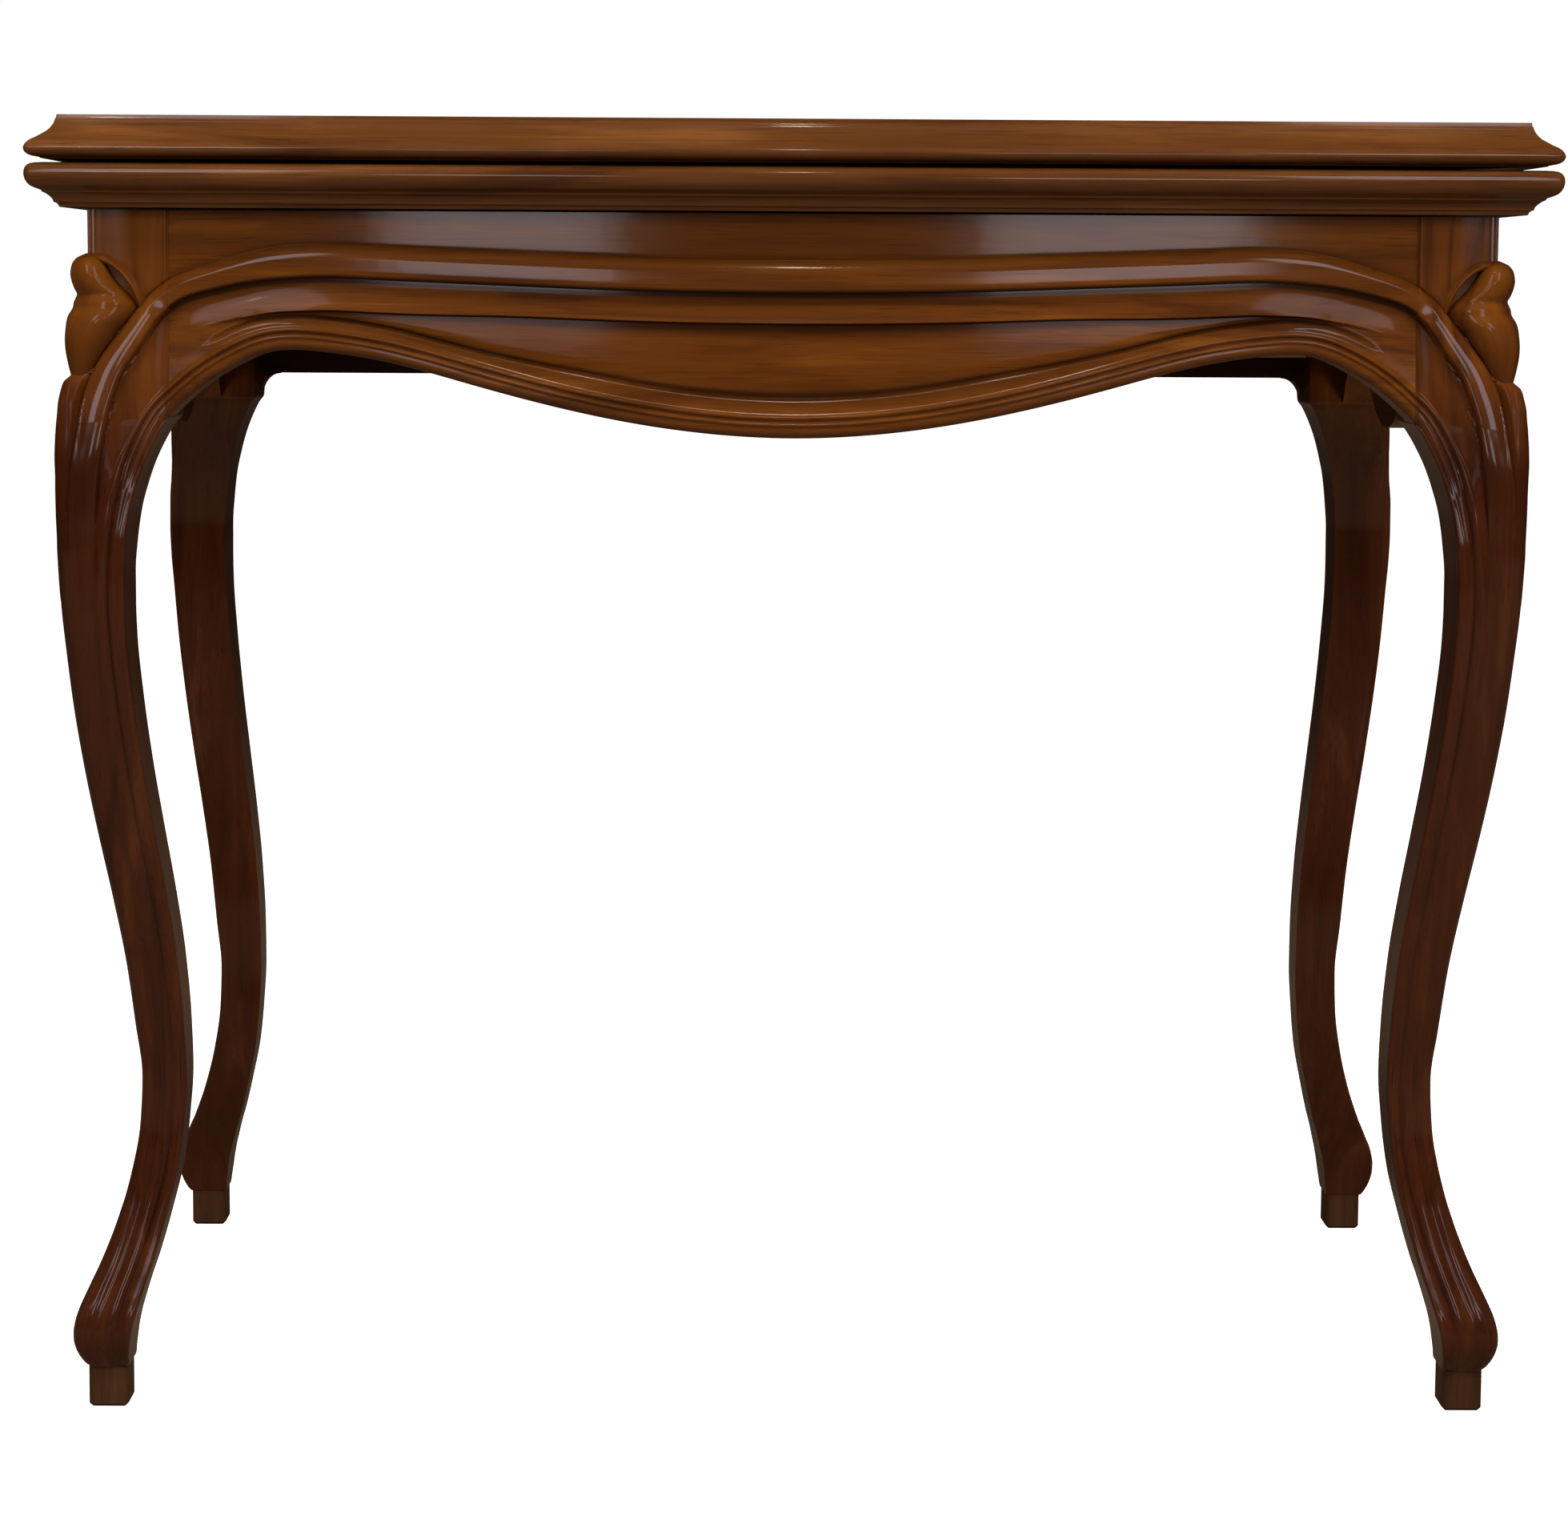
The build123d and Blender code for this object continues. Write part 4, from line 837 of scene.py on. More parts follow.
def leaf_path(inset):
    """The leaf's outline in plan at an inset, from the back left round the front to the back right."""
    r, w, d = max(corner_radius - inset, 0.4), half_width - inset, half_depth - inset
    side = leaf_back + d - r
    quarter = np.linspace(0, math.pi / 2, 15)[:-1]
    pts = [(-w, leaf_back - side * t) for t in np.linspace(0, 1, 14)[:-1]]
    pts += [(-w + r - r * math.cos(a), -d + r - r * math.sin(a)) for a in quarter]
    pts += [(-w + r + 2 * (w - r) * t, -d) for t in np.linspace(0, 1, 40)[:-1]]
    pts += [(w - r + r * math.sin(a), -d + r - r * math.cos(a)) for a in quarter]
    pts += [(w, -d + r + side * t) for t in np.linspace(0, 1, 14)]
    return np.array(pts)


print("points round a leaf", len(leaf_path(0.0)))


# %% One leaf
def nearest_corner(line, x, y):
    return int(np.argmin([(v.co.x / MM - x) ** 2 + (v.co.y / MM - y) ** 2 for v in line]))


def recess_walls(bm, inner, turn):
    """The walls and the floor of the recess, and the four corners of its mouth."""
    middle = (leaf_back - half_depth) / 2
    w, d = half_width - border_wide, (leaf_back + half_depth) / 2 - border_wide
    hole = [(-w, middle + d), (-w, middle - d), (w, middle - d), (w, middle + d)]
    top = [bm.verts.new(Vector((x, y, inner)) * MM) for x, y in hole]
    low = [bm.verts.new(Vector((x, y, inner - turn * recess_deep)) * MM) for x, y in hole]
    bm.faces.new(low)
    for k in range(4):
        bm.faces.new((top[k], top[(k + 1) % 4], low[(k + 1) % 4], low[k]))
    return top


def leaf_object(name, edge, outer, turn):
    """Bands of the moulded edge, then the flat outer face, the recess and the border round it."""
    bm = bmesh.new()
    rows = []
    for inset, depth in finer(np.array(edge)):
        path = leaf_path(inset)
        line = np.column_stack([path, np.full(len(path), outer + turn * depth)])
        rows.append([bm.verts.new(p) for p in line * MM])
    for a, b in zip(rows, rows[1:]):
        for k in range(len(a) - 1):
            bm.faces.new((a[k], a[k + 1], b[k + 1], b[k]))
    bm.faces.new(rows[0])
    bm.faces.new([row[0] for row in rows] + [row[-1] for row in reversed(rows)])
    mouth = recess_walls(bm, outer + turn * leaf_thick, turn)
    last = rows[-1]
    left_end = nearest_corner(last, -half_width, -half_depth)
    right_end = nearest_corner(last, half_width, -half_depth)
    bm.faces.new(last[: left_end + 1] + [mouth[1], mouth[0]])
    bm.faces.new(last[left_end : right_end + 1] + [mouth[2], mouth[1]])
    bm.faces.new(last[right_end:] + [mouth[3], mouth[2]])
    bm.faces.new([last[-1], last[0], mouth[0], mouth[3]])
    bmesh.ops.recalc_face_normals(bm, faces=bm.faces)
    return linked(name, mesh_from(bm, name))


upper = leaf_object("moulded_upper_leaf", upper_edge, table_top, -1)
lower = leaf_object("moulded_lower_leaf", lower_edge, lower_bottom, 1)
print("leaves before cutting", len(upper.data.polygons), len(lower.data.polygons), "faces")


# %% Cutting tools
def plain_mesh(obj):
    """The object with its modifiers worked out and taken off."""
    graph = bpy.context.evaluated_depsgraph_get()
    made = bpy.data.meshes.new_from_object(obj.evaluated_get(graph))
    obj.modifiers.clear()
    obj.data = made
    soften(made, 32)


def cut(obj, cutters):
    """Cuts closed pieces out of another, once, and keeps the plain mesh."""
    for cutter in cutters:
        step = obj.modifiers.new("cut", "BOOLEAN")
        step.operation, step.solver, step.object = "DIFFERENCE", "EXACT", cutter
    plain_mesh(obj)
    for cutter in cutters:
        bpy.data.objects.remove(cutter)


def box_piece(low_corner, high_corner):
    bm = bmesh.new()
    bmesh.ops.create_cube(bm, size=1.0)
    lo, hi = Vector(low_corner) * MM, Vector(high_corner) * MM
    for v in bm.verts:
        v.co = Vector((lo[k] + (hi[k] - lo[k]) * (v.co[k] + 0.5) for k in range(3)))
    return linked("cutter", mesh_from(bm, "cutter"))


def rod_piece(start, end, radius, sides=40):
    a, b = Vector(start) * MM, Vector(end) * MM
    place = Matrix.Translation((a + b) / 2) @ (b - a).to_track_quat("Z", "Y").to_matrix().to_4x4()
    bm = bmesh.new()
    ends = dict(radius1=radius * MM, radius2=radius * MM, depth=(b - a).length)
    bmesh.ops.create_cone(bm, cap_ends=True, segments=sides, matrix=place, **ends)
    return linked("cutter", mesh_from(bm, "cutter"))


# %% Seats of the hinges and of the pivot plate
hinge_x, hinge_half, hinge_y, fold_level, plate_reach = 280.0, 32.0, 216.0, 733.7, 18.5
knuckle_room, pivot_x, pivot_y, plate_room = 3.3, -108.0, 108.0, 29.0


def hinge_seat(x, side):
    """The seat of one hinge plate on the back of a leaf, and the room for half of its knuckle."""
    low, high = sorted((fold_level, fold_level + side * plate_reach))
    seat = box_piece((x - hinge_half, leaf_back - 1.5, low), (x + hinge_half, leaf_back + 4, high))
    ends = [(x + way * hinge_half, hinge_y, fold_level) for way in (-1, 1)]
    return [seat, rod_piece(*ends, knuckle_room)]


for leaf, side in ((upper, 1), (lower, -1)):
    cutters = hinge_seat(-hinge_x, side) + hinge_seat(hinge_x, side)
    if leaf is lower:
        ends = [(pivot_x, pivot_y, lower_bottom + rise) for rise in (-3, 3)]
        cutters.append(rod_piece(*ends, plate_room, 64))
    cut(leaf, cutters)
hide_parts("upper_leaf")
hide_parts("lower_leaf")
print("leaves", len(upper.data.polygons), len(lower.data.polygons), "faces")

# %% [markdown]
# ## Cloths, linings and felt
# The playing cloth lies glued in the recess of each leaf, the linings lie in the compartment, and four
# strips of felt carry the sliding top. Each is a thin sheet with soft edges that is never quite flat. All
# are glued down, so a formula gives their slight waviness, and no simulation is needed.

# %% A laid sheet
def eased(n):
    """Shares from 0 to 1 that crowd together at both ends, where the edge is soft."""
    first = [0, 0.35 / n, 0.8 / n]
    last = [1 - share for share in reversed(first)]
    return np.concatenate([first, np.linspace(1.4 / n, 1 - 1.4 / n, n), last])


def closed_grid(rows, columns):
    """Faces of an upper and a lower grid of points, and of the rim between them."""
    faces, n = [], rows * columns
    for i in range(rows - 1):
        for j in range(columns - 1):
            a, b = i * columns + j, (i + 1) * columns + j
            faces.append((a, b, b + 1, a + 1))
            faces.append((n + a, n + a + 1, n + b + 1, n + b))
    rim = list(range(columns)) + [i * columns + columns - 1 for i in range(1, rows)]
    rim += [n - 1 - j for j in range(1, columns)] + [i * columns for i in range(rows - 2, 0, -1)]
    for a, b in zip(rim, rim[1:] + rim[:1]):
        faces.append((a, b, n + b, n + a))
    return faces


def laid_sheet(name, low_corner, high_corner, face_up, step, wave=0.10):
    """A thin sheet between two corners, flat on its glued side."""
    (x0, y0, z0), (x1, y1, z1) = low_corner, high_corner
    xs = x0 + (x1 - x0) * eased(max(4, round((x1 - x0) / step)))
    ys = y0 + (y1 - y0) * eased(max(4, round((y1 - y0) / step)))
    gx, gy = np.meshgrid(xs, ys, indexing="ij")
    edge = np.minimum(np.minimum(gx - x0, x1 - gx), np.minimum(gy - y0, y1 - gy))
    ripple = np.sin(gx / 23.0 + 0.8 * np.sin(gy / 31.0)) * np.sin(gy / 19.0 + 1.1)
    rise = (z1 - z0 - wave) * (0.55 + 0.45 * smooth(edge / 2.5))
    rise = rise + wave * smooth(edge / 12) * (0.5 + 0.5 * ripple)
    flat = np.full_like(rise, z0 if face_up else z1)
    soft = z0 + rise if face_up else z1 - rise
    layers = [np.stack([gx, gy, level], axis=-1).reshape(-1, 3) for level in (soft, flat)]
    return add_object(name, np.concatenate(layers), closed_grid(*gx.shape))


# %% Sheets in their places
cloth_x, cloth_front, cloth_back = 392.0, -173.0, 169.7
lining_left, lining_right, lining_low, lining_high = -40.0, 294.0, 646.4, 647.4
strip_long, strip_wide, strip_high = 190.0, 12.0, 707.2
sheets = {}
for half, z in (("lower", 731.3), ("upper", 735.1)):
    corners = (-cloth_x, cloth_front, z), (cloth_x, cloth_back, z + 1.0)
    sheets[half + "_playing_cloth"] = (*corners, half + "_top", "moulded_" + half + "_leaf")
for side, y0, y1 in (("front", -165.0, -2.5), ("back", 4.5, 167.0)):
    corners = (lining_left, y0, lining_low), (lining_right, y1, lining_high)
    sheets[side + "_tray_lining"] = (*corners, "frame", "tray_floor")
for side, y, under in (("front", -182.0, "moulded_front_apron"), ("back", 171.0, "back_rail")):
    for end, x in (("left", -335.0), ("right", 145.0)):
        corners = (x, y, frame_top), (x + strip_long, y + strip_wide, strip_high)
        sheets[side + "_" + end + "_felt_strip"] = (*corners, "frame", under)
soft_pieces = {}
for node, (low_corner, high_corner, body, under) in sheets.items():
    face_up, step = node != "upper_playing_cloth", 1.6 if "felt" in node else 6.0
    sheet = laid_sheet("laid_" + node, low_corner, high_corner, face_up, step)
    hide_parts(node)
    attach(sheet, body)
    soft_pieces[node] = sheet
    print(node, len(sheet.data.polygons), "faces")

# %% [markdown]
# ## Screws
# Slotted countersunk wood screws hold the hinges, the pivot plate and the corner blocks. They are one
# screw, set at a list of places with its head facing out and its slot left at whatever angle it stopped.
# Geometry Nodes does the setting: a point for each head, the way it faces as an attribute of the point,
# and a turn drawn at random from a fixed seed.

# %% One screw
thread_pitch, slot_wide, slot_deep = 1.25, 0.7, 0.7


def screw_profile(length):
    """Radius and height of a screw with its head at the origin, facing +Z."""
    profile = [(0.0, 0.0), (2.6, 0.0), (3.1, -0.12), (3.2, -0.35), (1.7, -1.7), (1.6, -0.34 * length)]
    turns = int(0.56 * length / thread_pitch)
    for k in range(turns):
        z = -0.34 * length - k * thread_pitch
        thin = 1.0 - 0.35 * smooth((k - turns + 5) / 5)
        profile += [(1.15 * thin, z - 0.25), (1.6 * thin, z - 0.55), (1.15 * thin, z - 0.85)]
    return profile + [(0.5, -0.94 * length), (0.0, -length)]


def screw_template(name, length, sides=18):
    """The profile turned round, and its slot cut."""
    angles = np.linspace(0, 2 * math.pi, sides, endpoint=False)
    profile = screw_profile(length)[1:-1]
    rings = [[(r * math.cos(a), r * math.sin(a), z) for a in angles] for r, z in profile]
    obj = add_object(name, np.array(rings).reshape(-1, 3), ring_faces(len(rings), sides))
    cut(obj, [box_piece((-4.0, -slot_wide / 2, -slot_deep), (4.0, slot_wide / 2, 1.0))])
    return obj


# %% Nodes that set the screws
screw_sockets = (
    ("Places", "Geometry", "INPUT"), ("Screw", "Object", "INPUT"), ("Seed", "Int", "INPUT"),
    ("Finish", "Material", "INPUT"), ("Screws", "Geometry", "OUTPUT"),
)
screw_nodes = {
    "start": "NodeGroupInput", "points": "GeometryNodeMeshToPoints", "screw": "GeometryNodeObjectInfo",
    "way": "GeometryNodeInputNamedAttribute", "turn": "FunctionNodeAlignRotationToVector",
    "twist": "FunctionNodeRandomValue", "axis": "ShaderNodeCombineXYZ",
    "euler": "FunctionNodeEulerToRotation", "spin": "FunctionNodeRotateRotation",
    "place": "GeometryNodeInstanceOnPoints", "real": "GeometryNodeRealizeInstances",
    "finish": "GeometryNodeSetMaterial", "end": "NodeGroupOutput",
}

# from an output of one node to an input of another
screw_links = (
    ("start", "Places", "points", "Mesh"), ("start", "Screw", "screw", "Object"),
    ("start", "Seed", "twist", "Seed"), ("way", 0, "turn", "Vector"), ("twist", 1, "axis", 2),
    ("axis", 0, "euler", 0), ("turn", 0, "spin", "Rotation"), ("euler", 0, "spin", "Rotate By"),
    ("points", 0, "place", "Points"), ("screw", "Geometry", "place", "Instance"),
    ("spin", 0, "place", "Rotation"), ("place", 0, "real", 0), ("real", 0, "finish", "Geometry"),
    ("start", "Finish", "finish", "Material"), ("finish", 0, "end", "Screws"),
)


def screws_tree(name):
    """A screw on each point, facing its way, with a twist of up to half a turn, and all in one mesh."""
    tree = bpy.data.node_groups.new(name, "GeometryNodeTree")
    for label, kind, direction in screw_sockets:
        tree.interface.new_socket(label, in_out=direction, socket_type="NodeSocket" + kind)
    made = {label: tree.nodes.new(kind) for label, kind in screw_nodes.items()}
    made["way"].data_type = "FLOAT_VECTOR"
    made["way"].inputs["Name"].default_value = "way"
    made["turn"].axis = "Z"
    made["twist"].data_type = "FLOAT"
    made["twist"].inputs[2].default_value = 0.0
    made["twist"].inputs[3].default_value = math.pi
    made["spin"].rotation_space = "LOCAL"
    for source, output, target, entry in screw_links:
        tree.links.new(made[source].outputs[output], made[target].inputs[entry])
    return tree


def placed_screws(name, places, length, finish, seed):
    """places is a list of (head, way): where each head lies and the way it faces."""
    mesh = bpy.data.meshes.new(name)
    mesh.from_pydata([tuple(v * MM for v in head) for head, _ in places], [], [])
    ways = np.array([way for _, way in places], float)
    mesh.attributes.new("way", "FLOAT_VECTOR", "POINT").data.foreach_set("vector", ways.ravel())
    obj, template = linked(name, mesh), screw_template("one_screw", length)
    step = obj.modifiers.new("screws", "NODES")
    step.node_group = screws_tree(name + "_tree")
    inputs = {"Screw": template, "Seed": seed, "Finish": finish}
    for socket in step.node_group.interface.items_tree:
        if socket.name in inputs:
            step[socket.identifier] = inputs[socket.name]
    plain_mesh(obj)
    bpy.data.objects.remove(template)
    return obj


# %% Places of the screws
hinge_places = [side * hinge_x + k * 64.0 / 3 for side in (-1, 1) for k in (-1, 0, 1)]
lower_hinge = [((x, leaf_back, 722.95), (0, 1, 0)) for x in hinge_places]
upper_hinge = [((x, leaf_back, 744.45), (0, 1, 0)) for x in hinge_places]

plate_circle, pivot_plate = 20.88, []
for a in np.radians([45, 135, 225, 315]):
    head = (pivot_x + plate_circle * math.cos(a), pivot_y + plate_circle * math.sin(a), lower_bottom)
    pivot_plate.append((head, (0, 0, -1)))

block_level, corner_blocks = 673.4, []
for sx in (1, -1):
    for sy, wall in ((1, -165.0), (-1, 167.0)):
        corner_blocks.append(((-sx * 364.0, wall + sy * 54.0, block_level), (sx, 0, 0)))
        corner_blocks.append(((-sx * 330.0, wall + sy * 20.0, block_level), (0, sy, 0)))

# places, length, body, material slot and seed
screw_sets = {
    "lower_hinge_screws": (lower_hinge, 16.0, "lower_top", "hinge_brass", 3),
    "upper_hinge_screws": (upper_hinge, 16.0, "upper_top", "hinge_brass", 5),
    "pivot_plate_screws": (pivot_plate, 14.0, "lower_top", "iron", 8),
    "corner_block_screws": (corner_blocks, 36.0, "frame", "iron", 13),
}
print("screws to set", sum(len(places) for places, *_ in screw_sets.values()))

# %% [markdown]
# ## Finishes
# The frame is stained beech or walnut under many coats of glossy varnish. The grain runs along each
# piece: fine dark pores and soft bands of darker and lighter wood. On the carved pieces painted shade,
# with some real stain, darkens the quirks and hollows, and real wear with a painted highlight lightens the
# ridges; an attribute of the points carries both. The varnish is a clear coat with a slight waviness of its
# own. The rest is noise stretched along the grain, worked out in the space of the object, so no picture
# has to be laid over the carving.

# %% Short calls for shader nodes
class Graph:
    """A node tree with short calls."""

    def __init__(self, tree):
        self.tree = tree
        tree.nodes.clear()

    def node(self, kind, **values):
        n = self.tree.nodes.new("ShaderNode" + kind)
        for key, value in values.items():
            setattr(n, key, value)
        return n

    def link(self, a, b):
        self.tree.links.new(a, b)

    def give(self, socket, value):
        """Sets a socket to a number or a colour, or links it to another socket."""
        if isinstance(value, (int, float)):
            socket.default_value = value
        elif isinstance(value, tuple):
            socket.default_value = (*value, 1)
        else:
            self.link(value, socket)

    def coords(self, scale=(1, 1, 1)):
        tex, mapping = self.node("TexCoord"), self.node("Mapping")
        mapping.inputs["Scale"].default_value = scale
        self.link(tex.outputs["Object"], mapping.inputs["Vector"])
        return mapping.outputs[0]

    def noise(self, vector, *values):
        """values are the scale, the detail, the roughness and, where there is one, the distortion."""
        n = self.node("TexNoise")
        for label, value in zip(("Scale", "Detail", "Roughness", "Distortion"), values):
            n.inputs[label].default_value = value
        self.link(vector, n.inputs["Vector"])
        return n.outputs["Fac"]

    def ramp(self, value, stops):
        n = self.node("ValToRGB")
        n.color_ramp.interpolation = "EASE"
        while len(n.color_ramp.elements) < len(stops):
            n.color_ramp.elements.new(0.5)
        for element, (place, colour) in zip(n.color_ramp.elements, stops):
            element.position = place
            element.color = (*colour, 1)
        self.link(value, n.inputs[0])
        return n.outputs[0]

    def mix(self, factor, a, b):
        n = self.node("Mix", data_type="RGBA", blend_type="MIX")
        for k, value in ((0, factor), (6, a), (7, b)):
            self.give(n.inputs[k], value)
        return n.outputs[2]

    def map(self, value, *limits):
        """Maps a value from the first two limits to the last two."""
        n = self.node("MapRange")
        for k, limit in enumerate(limits):
            n.inputs[k + 1].default_value = limit
        self.link(value, n.inputs[0])
        return n.outputs[0]

    def bump(self, height, strength, distance, normal=None):
        n = self.node("Bump")
        n.inputs["Strength"].default_value = strength
        n.inputs["Distance"].default_value = distance
        self.link(height, n.inputs["Height"])
        if normal is not None:
            self.link(normal, n.inputs["Normal"])
        return n.outputs[0]


def new_material(name):
    mat = bpy.data.materials.new(name)
    mat.use_nodes = True
    return mat, Graph(mat.node_tree)


def new_finish(name):
    """A material, its graph, and the inputs of its one surface."""
    mat, g = new_material(name)
    out, surface = g.node("OutputMaterial"), g.node("BsdfPrincipled")
    g.link(surface.outputs[0], out.inputs[0])
    return mat, g, surface.inputs


# %% Wood
def stretched(axis, long, wide):
    return tuple(long if k == axis else wide for k in range(3))


def scaled(colour, by):
    return tuple(min(1.0, by * c) for c in colour)


def figured(g, figure, tones):
    return g.ramp(figure, list(zip((0.28, 0.5, 0.72), tones)))


def wood(name, axis, tones, rough=0.42, coat=1.0, coat_rough=0.09, pore=0.5, carved=False, above=None):
    """Wood with its grain along an axis. A carved piece also has the painted shade and highlight, with real
    stain and wear, and the polish of its points.
    """
    mat, g, inputs = new_finish(name)
    dark, middle, light = tones

    # figure, bands, fibres and a mottled stain
    figure = g.noise(g.coords(stretched(axis, 1.2, 11.0)), 3.0, 5.0, 0.55, 1.4)
    bands = g.noise(g.coords(stretched(axis, 2.0, 60.0)), 3.0, 4.0, 0.6, 0.5)
    fibre = g.noise(g.coords(stretched(axis, 14.0, 520.0)), 2.0, 3.0, 0.6)
    mottle = g.noise(g.coords(), 9.0, 3.0, 0.5)
    colour = figured(g, figure, tones)
    colour = g.mix(g.map(bands, 0.35, 0.68, 0.0, 0.5), colour, dark)
    colour = g.mix(g.map(fibre, 0.56, 0.70, 0.0, pore), colour, scaled(dark, 0.35))
    colour = g.mix(g.map(mottle, 0.35, 0.65, 0.0, 0.35), colour, scaled(middle, 0.55))

    # the other tones that the wood takes on towards the top of the piece
    if above:
        place = g.node("SeparateXYZ")
        g.link(g.coords(), place.inputs[0])
        warm = figured(g, figure, above)
        colour = g.mix(g.map(place.outputs[2], 0.56, 0.665, 0.0, 1.0), colour, warm)

    # darker hollows, painted shade with some real stain, and lighter ridges, real wear with a painted
    # highlight
    if carved:
        wear_and_painted_light = g.node("Attribute", attribute_name="wear_and_painted_light").outputs["Fac"]
        hollow = g.map(wear_and_painted_light, -0.06, -0.55, 0.0, 0.72)
        worn_and_painted_light = g.map(wear_and_painted_light, 0.12, 0.75, 0.0, 0.30)
        colour = g.mix(hollow, colour, scaled(dark, 0.22))
        colour = g.mix(worn_and_painted_light, colour, scaled(light, 1.25))
    g.link(colour, inputs["Base Color"])
    g.link(g.map(mottle, 0.3, 0.7, rough - 0.06, rough + 0.08), inputs["Roughness"])

    # the clear coat, waved a little by the brush
    ripple = g.noise(g.coords(), 34.0, 2.0, 0.5)
    pores = g.bump(fibre, 0.14, 0.0004)
    g.link(g.bump(ripple, 0.05, 0.002, pores), inputs["Normal"])
    g.link(g.bump(ripple, 0.035, 0.002), inputs["Coat Normal"])
    inputs["Coat Weight"].default_value = coat
    if carved:
        g.link(g.node("Attribute", attribute_name="polish").outputs["Fac"], inputs["Coat Weight"])
    inputs["Coat Roughness"].default_value = coat_rough
    inputs["Coat IOR"].default_value = 1.5
    inputs["Specular IOR Level"].default_value = 0.05
    return mat


# %% Woods of the table
# each with its dark, middle and light tone
golden = (0.066, 0.018, 0.0026), (0.145, 0.043, 0.0046), (0.215, 0.070, 0.0085)
reddish = (0.029, 0.0064, 0.0020), (0.060, 0.0145, 0.0045), (0.095, 0.027, 0.0080)
brown = (0.060, 0.019, 0.0045), (0.125, 0.043, 0.010), (0.18, 0.068, 0.018)
stained = (0.020, 0.008, 0.004), (0.045, 0.018, 0.008), (0.07, 0.03, 0.012)
dusty = (0.040, 0.016, 0.007), (0.076, 0.034, 0.015), (0.115, 0.056, 0.025)
beech = (0.34, 0.19, 0.09), (0.45, 0.27, 0.14), (0.54, 0.35, 0.20)
apron_x = wood("varnished_apron_x", 0, golden, carved=True)
apron_y = wood("varnished_apron_y", 1, golden, carved=True)
leg_wood = wood("varnished_leg", 2, reddish, coat_rough=0.11, carved=True, above=golden)
leaf_wood = wood("varnished_leaf", 0, brown)
rail_wood = wood("stained_rail", 0, stained, rough=0.5, coat=0.3, coat_rough=0.3)
pad_wood = wood("pad_wood", 2, dusty, rough=0.55, coat=0.25, coat_rough=0.3)
plain = dict(rough=0.6, coat=0.0, pore=0.3)
plain_x = wood("plain_beech_x", 0, beech, **plain)
plain_y = wood("plain_beech_y", 1, beech, **plain)
woods = (apron_x, apron_y, leg_wood, leaf_wood, rail_wood, pad_wood, plain_x, plain_y)
print("woods", [mat.name for mat in woods])

# %% [markdown]
# Baize and felt are matted wool: a fine nap that scatters light, and soft patches where it is worn. The
# brass of the hinges has dulled in spots and was rubbed with fine lines when it was filed. The bolt and
# its plate are plain iron.

# %% Cloth and metal
def cloth_material(name, deep, pale):
    mat, g, inputs = new_finish(name)
    nap = g.noise(g.coords(), 900.0, 4.0, 0.7, 0.3)
    patch = g.noise(g.coords(), 16.0, 3.0, 0.55, 0.2)
    colour = g.mix(g.map(nap, 0.3, 0.7, 0.0, 1.0), deep, pale)
    colour = g.mix(g.map(patch, 0.4, 0.7, 0.0, 0.25), colour, deep)
    g.link(colour, inputs["Base Color"])
    inputs["Roughness"].default_value = 0.95
    inputs["Sheen Weight"].default_value = 0.25
    inputs["Sheen Roughness"].default_value = 0.45
    inputs["Specular IOR Level"].default_value = 0.2
    g.link(g.bump(nap, 0.35, 0.0006), inputs["Normal"])
    return mat


def metal_material(name, colour, dull, rough):
    mat, g, inputs = new_finish(name)
    spots = g.noise(g.coords(), 140.0, 5.0, 0.6, 0.2)
    lines = g.noise(g.coords((30, 900, 900)), 1.0, 3.0, 0.6)
    g.link(g.mix(g.map(spots, 0.42, 0.68, 0.0, 0.8), colour, dull), inputs["Base Color"])
    g.link(g.map(spots, 0.3, 0.7, rough - 0.08, rough + 0.14), inputs["Roughness"])
    g.link(g.bump(lines, 0.12, 0.0002), inputs["Normal"])
    inputs["Metallic"].default_value = 1.0
    return mat


green = cloth_material("green_baize", (0.010, 0.050, 0.024), (0.024, 0.098, 0.050))
felt = cloth_material("brown_felt", (0.030, 0.018, 0.011), (0.065, 0.042, 0.028))
brass = metal_material("aged_brass", (0.62, 0.42, 0.17), (0.22, 0.13, 0.055), 0.3)
iron = metal_material("dull_iron", (0.28, 0.27, 0.26), (0.10, 0.085, 0.075), 0.42)
print("cloths and metals", [mat.name for mat in (green, felt, brass, iron)])

# %% [markdown]
# The made pieces take their finish on their own mesh, and the plain CAD pieces on the slot of the object.
# A list of words picks the finish of each CAD node by its name, and the first word found in it counts.

# %% Finishes on the pieces
def paint(obj, mat):
    obj.data.materials.clear()
    obj.data.materials.append(mat)


for node, obj in soft_pieces.items():
    paint(obj, felt if "felt" in node else green)
for node, (places, length, body, slot_name, seed) in screw_sets.items():
    metal = brass if slot_name == "hinge_brass" else iron
    screws = placed_screws("turned_" + node, places, length, metal, seed)
    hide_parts(node)
    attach(screws, body)
    print(node, len(screws.data.polygons), "faces")
for name, obj in aprons.items():
    paint(obj, apron_x if name == "front_apron" else apron_y)
for obj in legs.values():
    paint(obj, leg_wood)
for obj in (upper, lower):
    paint(obj, leaf_wood)
by_word = {
    "playing_cloth": green, "lining": green, "felt": felt, "hinge_screws": brass, "hinge": brass,
    "pivot_rail": plain_y, "block_screws": iron, "pivot": iron, "foot_pad": pad_wood, "back_rail": rail_wood,
    "tray_end": plain_y, "corner_block": plain_x, "tray": plain_x, "stop_peg": plain_x,
}
for name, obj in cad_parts.items():
    found = [mat for word, mat in by_word.items() if word in name]
    for slot in obj.material_slots:
        if found:
            slot.link = "OBJECT"
            slot.material = found[0]

# %% [markdown]
# ## Riding
# The frame stands still. The lower leaf swivels on it and the upper leaf turns on the hinges.

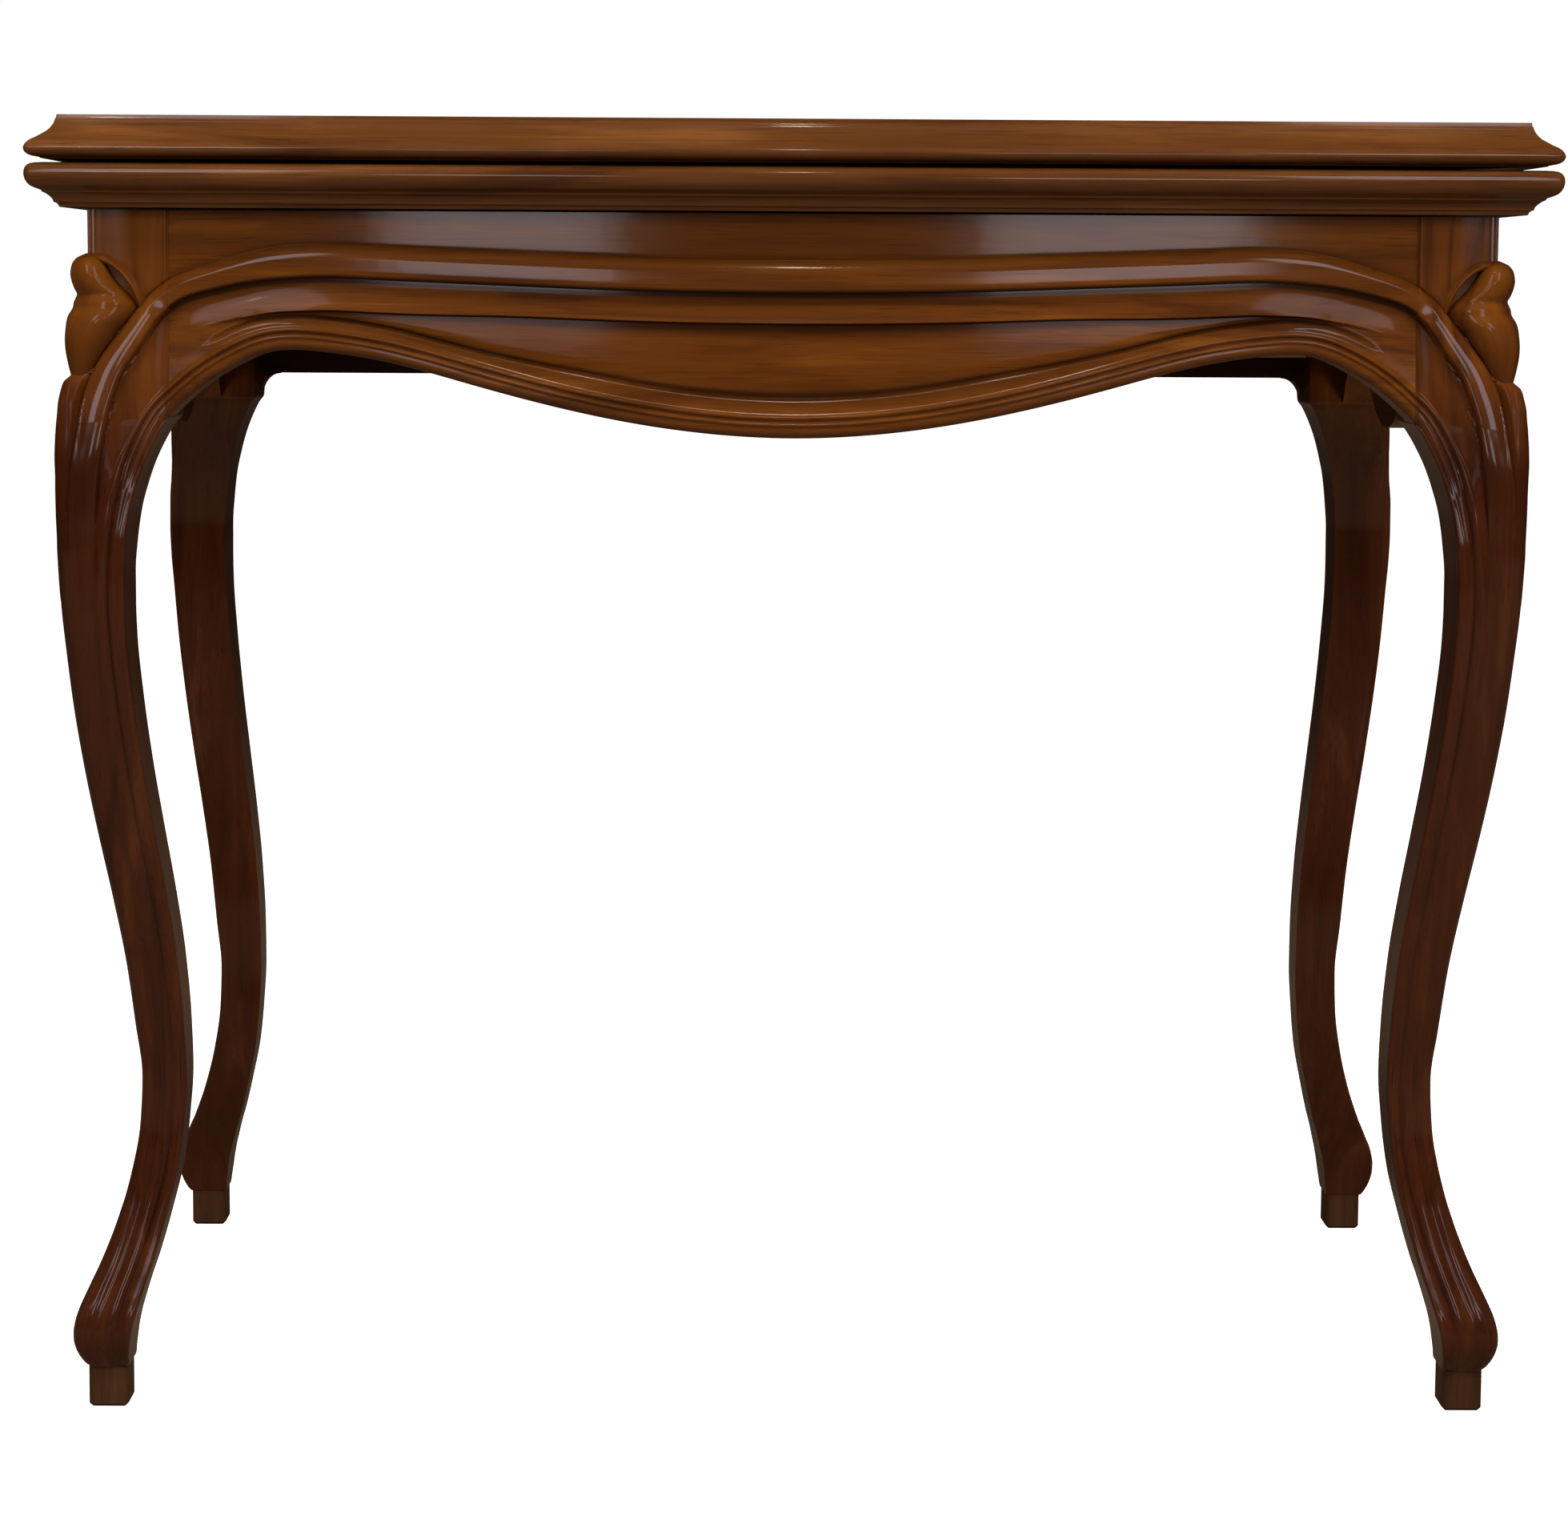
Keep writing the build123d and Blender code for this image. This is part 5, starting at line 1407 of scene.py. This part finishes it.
# %% Riding
for obj in list(aprons.values()) + list(legs.values()):
    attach(obj, "frame")
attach(lower, "lower_top")
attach(upper, "upper_top")
print("pieces on the frame", len(aprons) + len(legs))

# %% [markdown]
# ## Camera
# The camera was fitted to the outlines of the table in the photo: two metres away, a little under the
# height of the top. The shift of the lens moves the picture without turning the camera any further.

# %% Camera
scene = bpy.context.scene
scene.view_settings.view_transform = "Standard"
camera = linked("camera", bpy.data.cameras.new("camera"))
camera.location = (-0.03935, -2.02136, 0.66330)
yaw, tilt, roll = 0.006392, 0.084658, 0.005605
turns = ((-yaw, "Z"), (math.pi / 2 - tilt, "X"), (roll, "Z"))
first, second, third = (Matrix.Rotation(angle, 3, axis) for angle, axis in turns)
camera.rotation_euler = (first @ second @ third).to_euler()
camera.data.sensor_width = 36.0
camera.data.lens = 72.54
camera.data.shift_x, camera.data.shift_y = 0.0253, -0.1312
scene.camera = camera
print("camera", [round(v, 3) for v in camera.location], "lens", camera.data.lens)

# %% [markdown]
# ## White ground
# The white round the table in the photo is cut out, and the varnish mirrors a dim room. So the floor and
# the world are white only to the rays that come from the camera. Reflections and bounced light meet a
# dim warm ground instead.

# %% Floor and world
def white_to_camera(g, seen, unseen, out):
    """Shows one shader to the camera and another to every other ray."""
    rays, swap = g.node("LightPath"), g.node("MixShader")
    g.link(rays.outputs["Is Camera Ray"], swap.inputs[0])
    g.link(unseen.outputs[0], swap.inputs[1])
    g.link(seen.outputs[0], swap.inputs[2])
    g.link(swap.outputs[0], out.inputs[0])


def shader(g, kind, colour, strength=None):
    n = g.node(kind)
    n.inputs[0].default_value = (*colour, 1)
    if strength is not None:
        n.inputs[1].default_value = strength
    return n


floor_finish, g = new_material("pale_floor")
lit = g.node("AddShader")
g.link(shader(g, "BsdfDiffuse", (0.8, 0.8, 0.8)).outputs[0], lit.inputs[0])
g.link(shader(g, "Emission", (1, 1, 1), 1.0).outputs[0], lit.inputs[1])
white_to_camera(g, lit, shader(g, "BsdfDiffuse", (0.16, 0.12, 0.09)), g.node("OutputMaterial"))

far = 60.0
floor_mesh = bpy.data.meshes.new("floor")
floor_mesh.from_pydata([(-far, -far, 0), (far, -far, 0), (far, far, 0), (-far, far, 0)], [], [(0, 1, 2, 3)])
floor = linked("floor", floor_mesh)
paint(floor, floor_finish)

world = bpy.data.worlds.new("studio")
scene.world = world
world.use_nodes = True
g = Graph(world.node_tree)
white_ground, dim_room = (1, 1, 1), (1.0, 0.72, 0.48)
seen, unseen = shader(g, "Background", white_ground, 1.0), shader(g, "Background", dim_room, 0.055)
white_to_camera(g, seen, unseen, g.node("OutputWorld"))
print("floor", 2 * far, "m wide")

# %% [markdown]
# ## Lights
# Two bright panels behind the camera give the grey strips on the bead and on the panel above it, with a
# dark gap between them. Farther out a low and a high panel on each side give the strips on the legs. Big
# soft lights that no varnish mirrors light the wood itself, and two small lamps give the sparkles.

# %% Lights
daylight, warm_light, lamp_light = (0.95, 0.92, 1.0), (1.0, 0.92, 0.82), (1.0, 0.9, 0.75)
window_height = 0.83


def panel(name, place, size, power, target, colour, mirrored=True):
    light = bpy.data.lights.new(name, "AREA")
    light.shape = "RECTANGLE"
    light.size, light.size_y = size
    light.energy, light.color = power, colour
    obj = linked(name, light)
    obj.location = place
    obj.rotation_euler = (Vector(target) - Vector(place)).to_track_quat("-Z", "Y").to_euler()
    obj.visible_glossy = mirrored
    return obj


for side, x, width, power in (("left", -0.328, 0.287, 0.89), ("right", 0.464, 0.343, 1.14)):
    place, target = (x, -2.40, window_height), (x, -0.2, window_height)
    panel(side + "_window", place, (width, 0.38), power, target, daylight)
for side, x, way in (("far_left", -0.83, -1), ("far_right", 0.93, 1)):
    place, target = (x + 0.20 * way, -2.35, window_height), (0.4 * x, -0.2, window_height)
    panel(side + "_low", place, (0.20, 0.28), 0.09, target, daylight)
    panel(side + "_high", (x, -2.35, 1.75), (0.44, 1.20), 4.6, (0.4 * x, -0.2, 0.8), daylight)
for name, place, size, power, target, colour in (
    ("overhead", (0.0, -1.5, 3.4), (3.2, 1.6), 112.0, (0, 0, 0.6), (1.0, 0.90, 0.76)),
    ("left_side", (-3.0, -2.6, 1.5), (1.4, 1.4), 40.0, (-0.3, 0, 0.5), warm_light),
    ("right_side", (3.0, -2.6, 1.5), (1.4, 1.4), 58.0, (0.3, 0, 0.5), warm_light),
    ("back_fill", (0.0, 3.0, 2.4), (2.4, 1.2), 14.0, (0, 0, 0.6), (1.0, 0.92, 0.85)),
):
    panel(name, place, size, power, target, colour, mirrored=False)
for name, place, size, power in (
    ("lamp_middle", (0.031, -1.093, 1.675), (0.016, 0.10), 0.24),
    ("lamp_left", (-0.79, -2.2, 1.40), (0.02, 0.02), 0.12),
):
    lamp = panel(name, place, size, power, (0, 0, 0.7), lamp_light)
    lamp.visible_diffuse = False
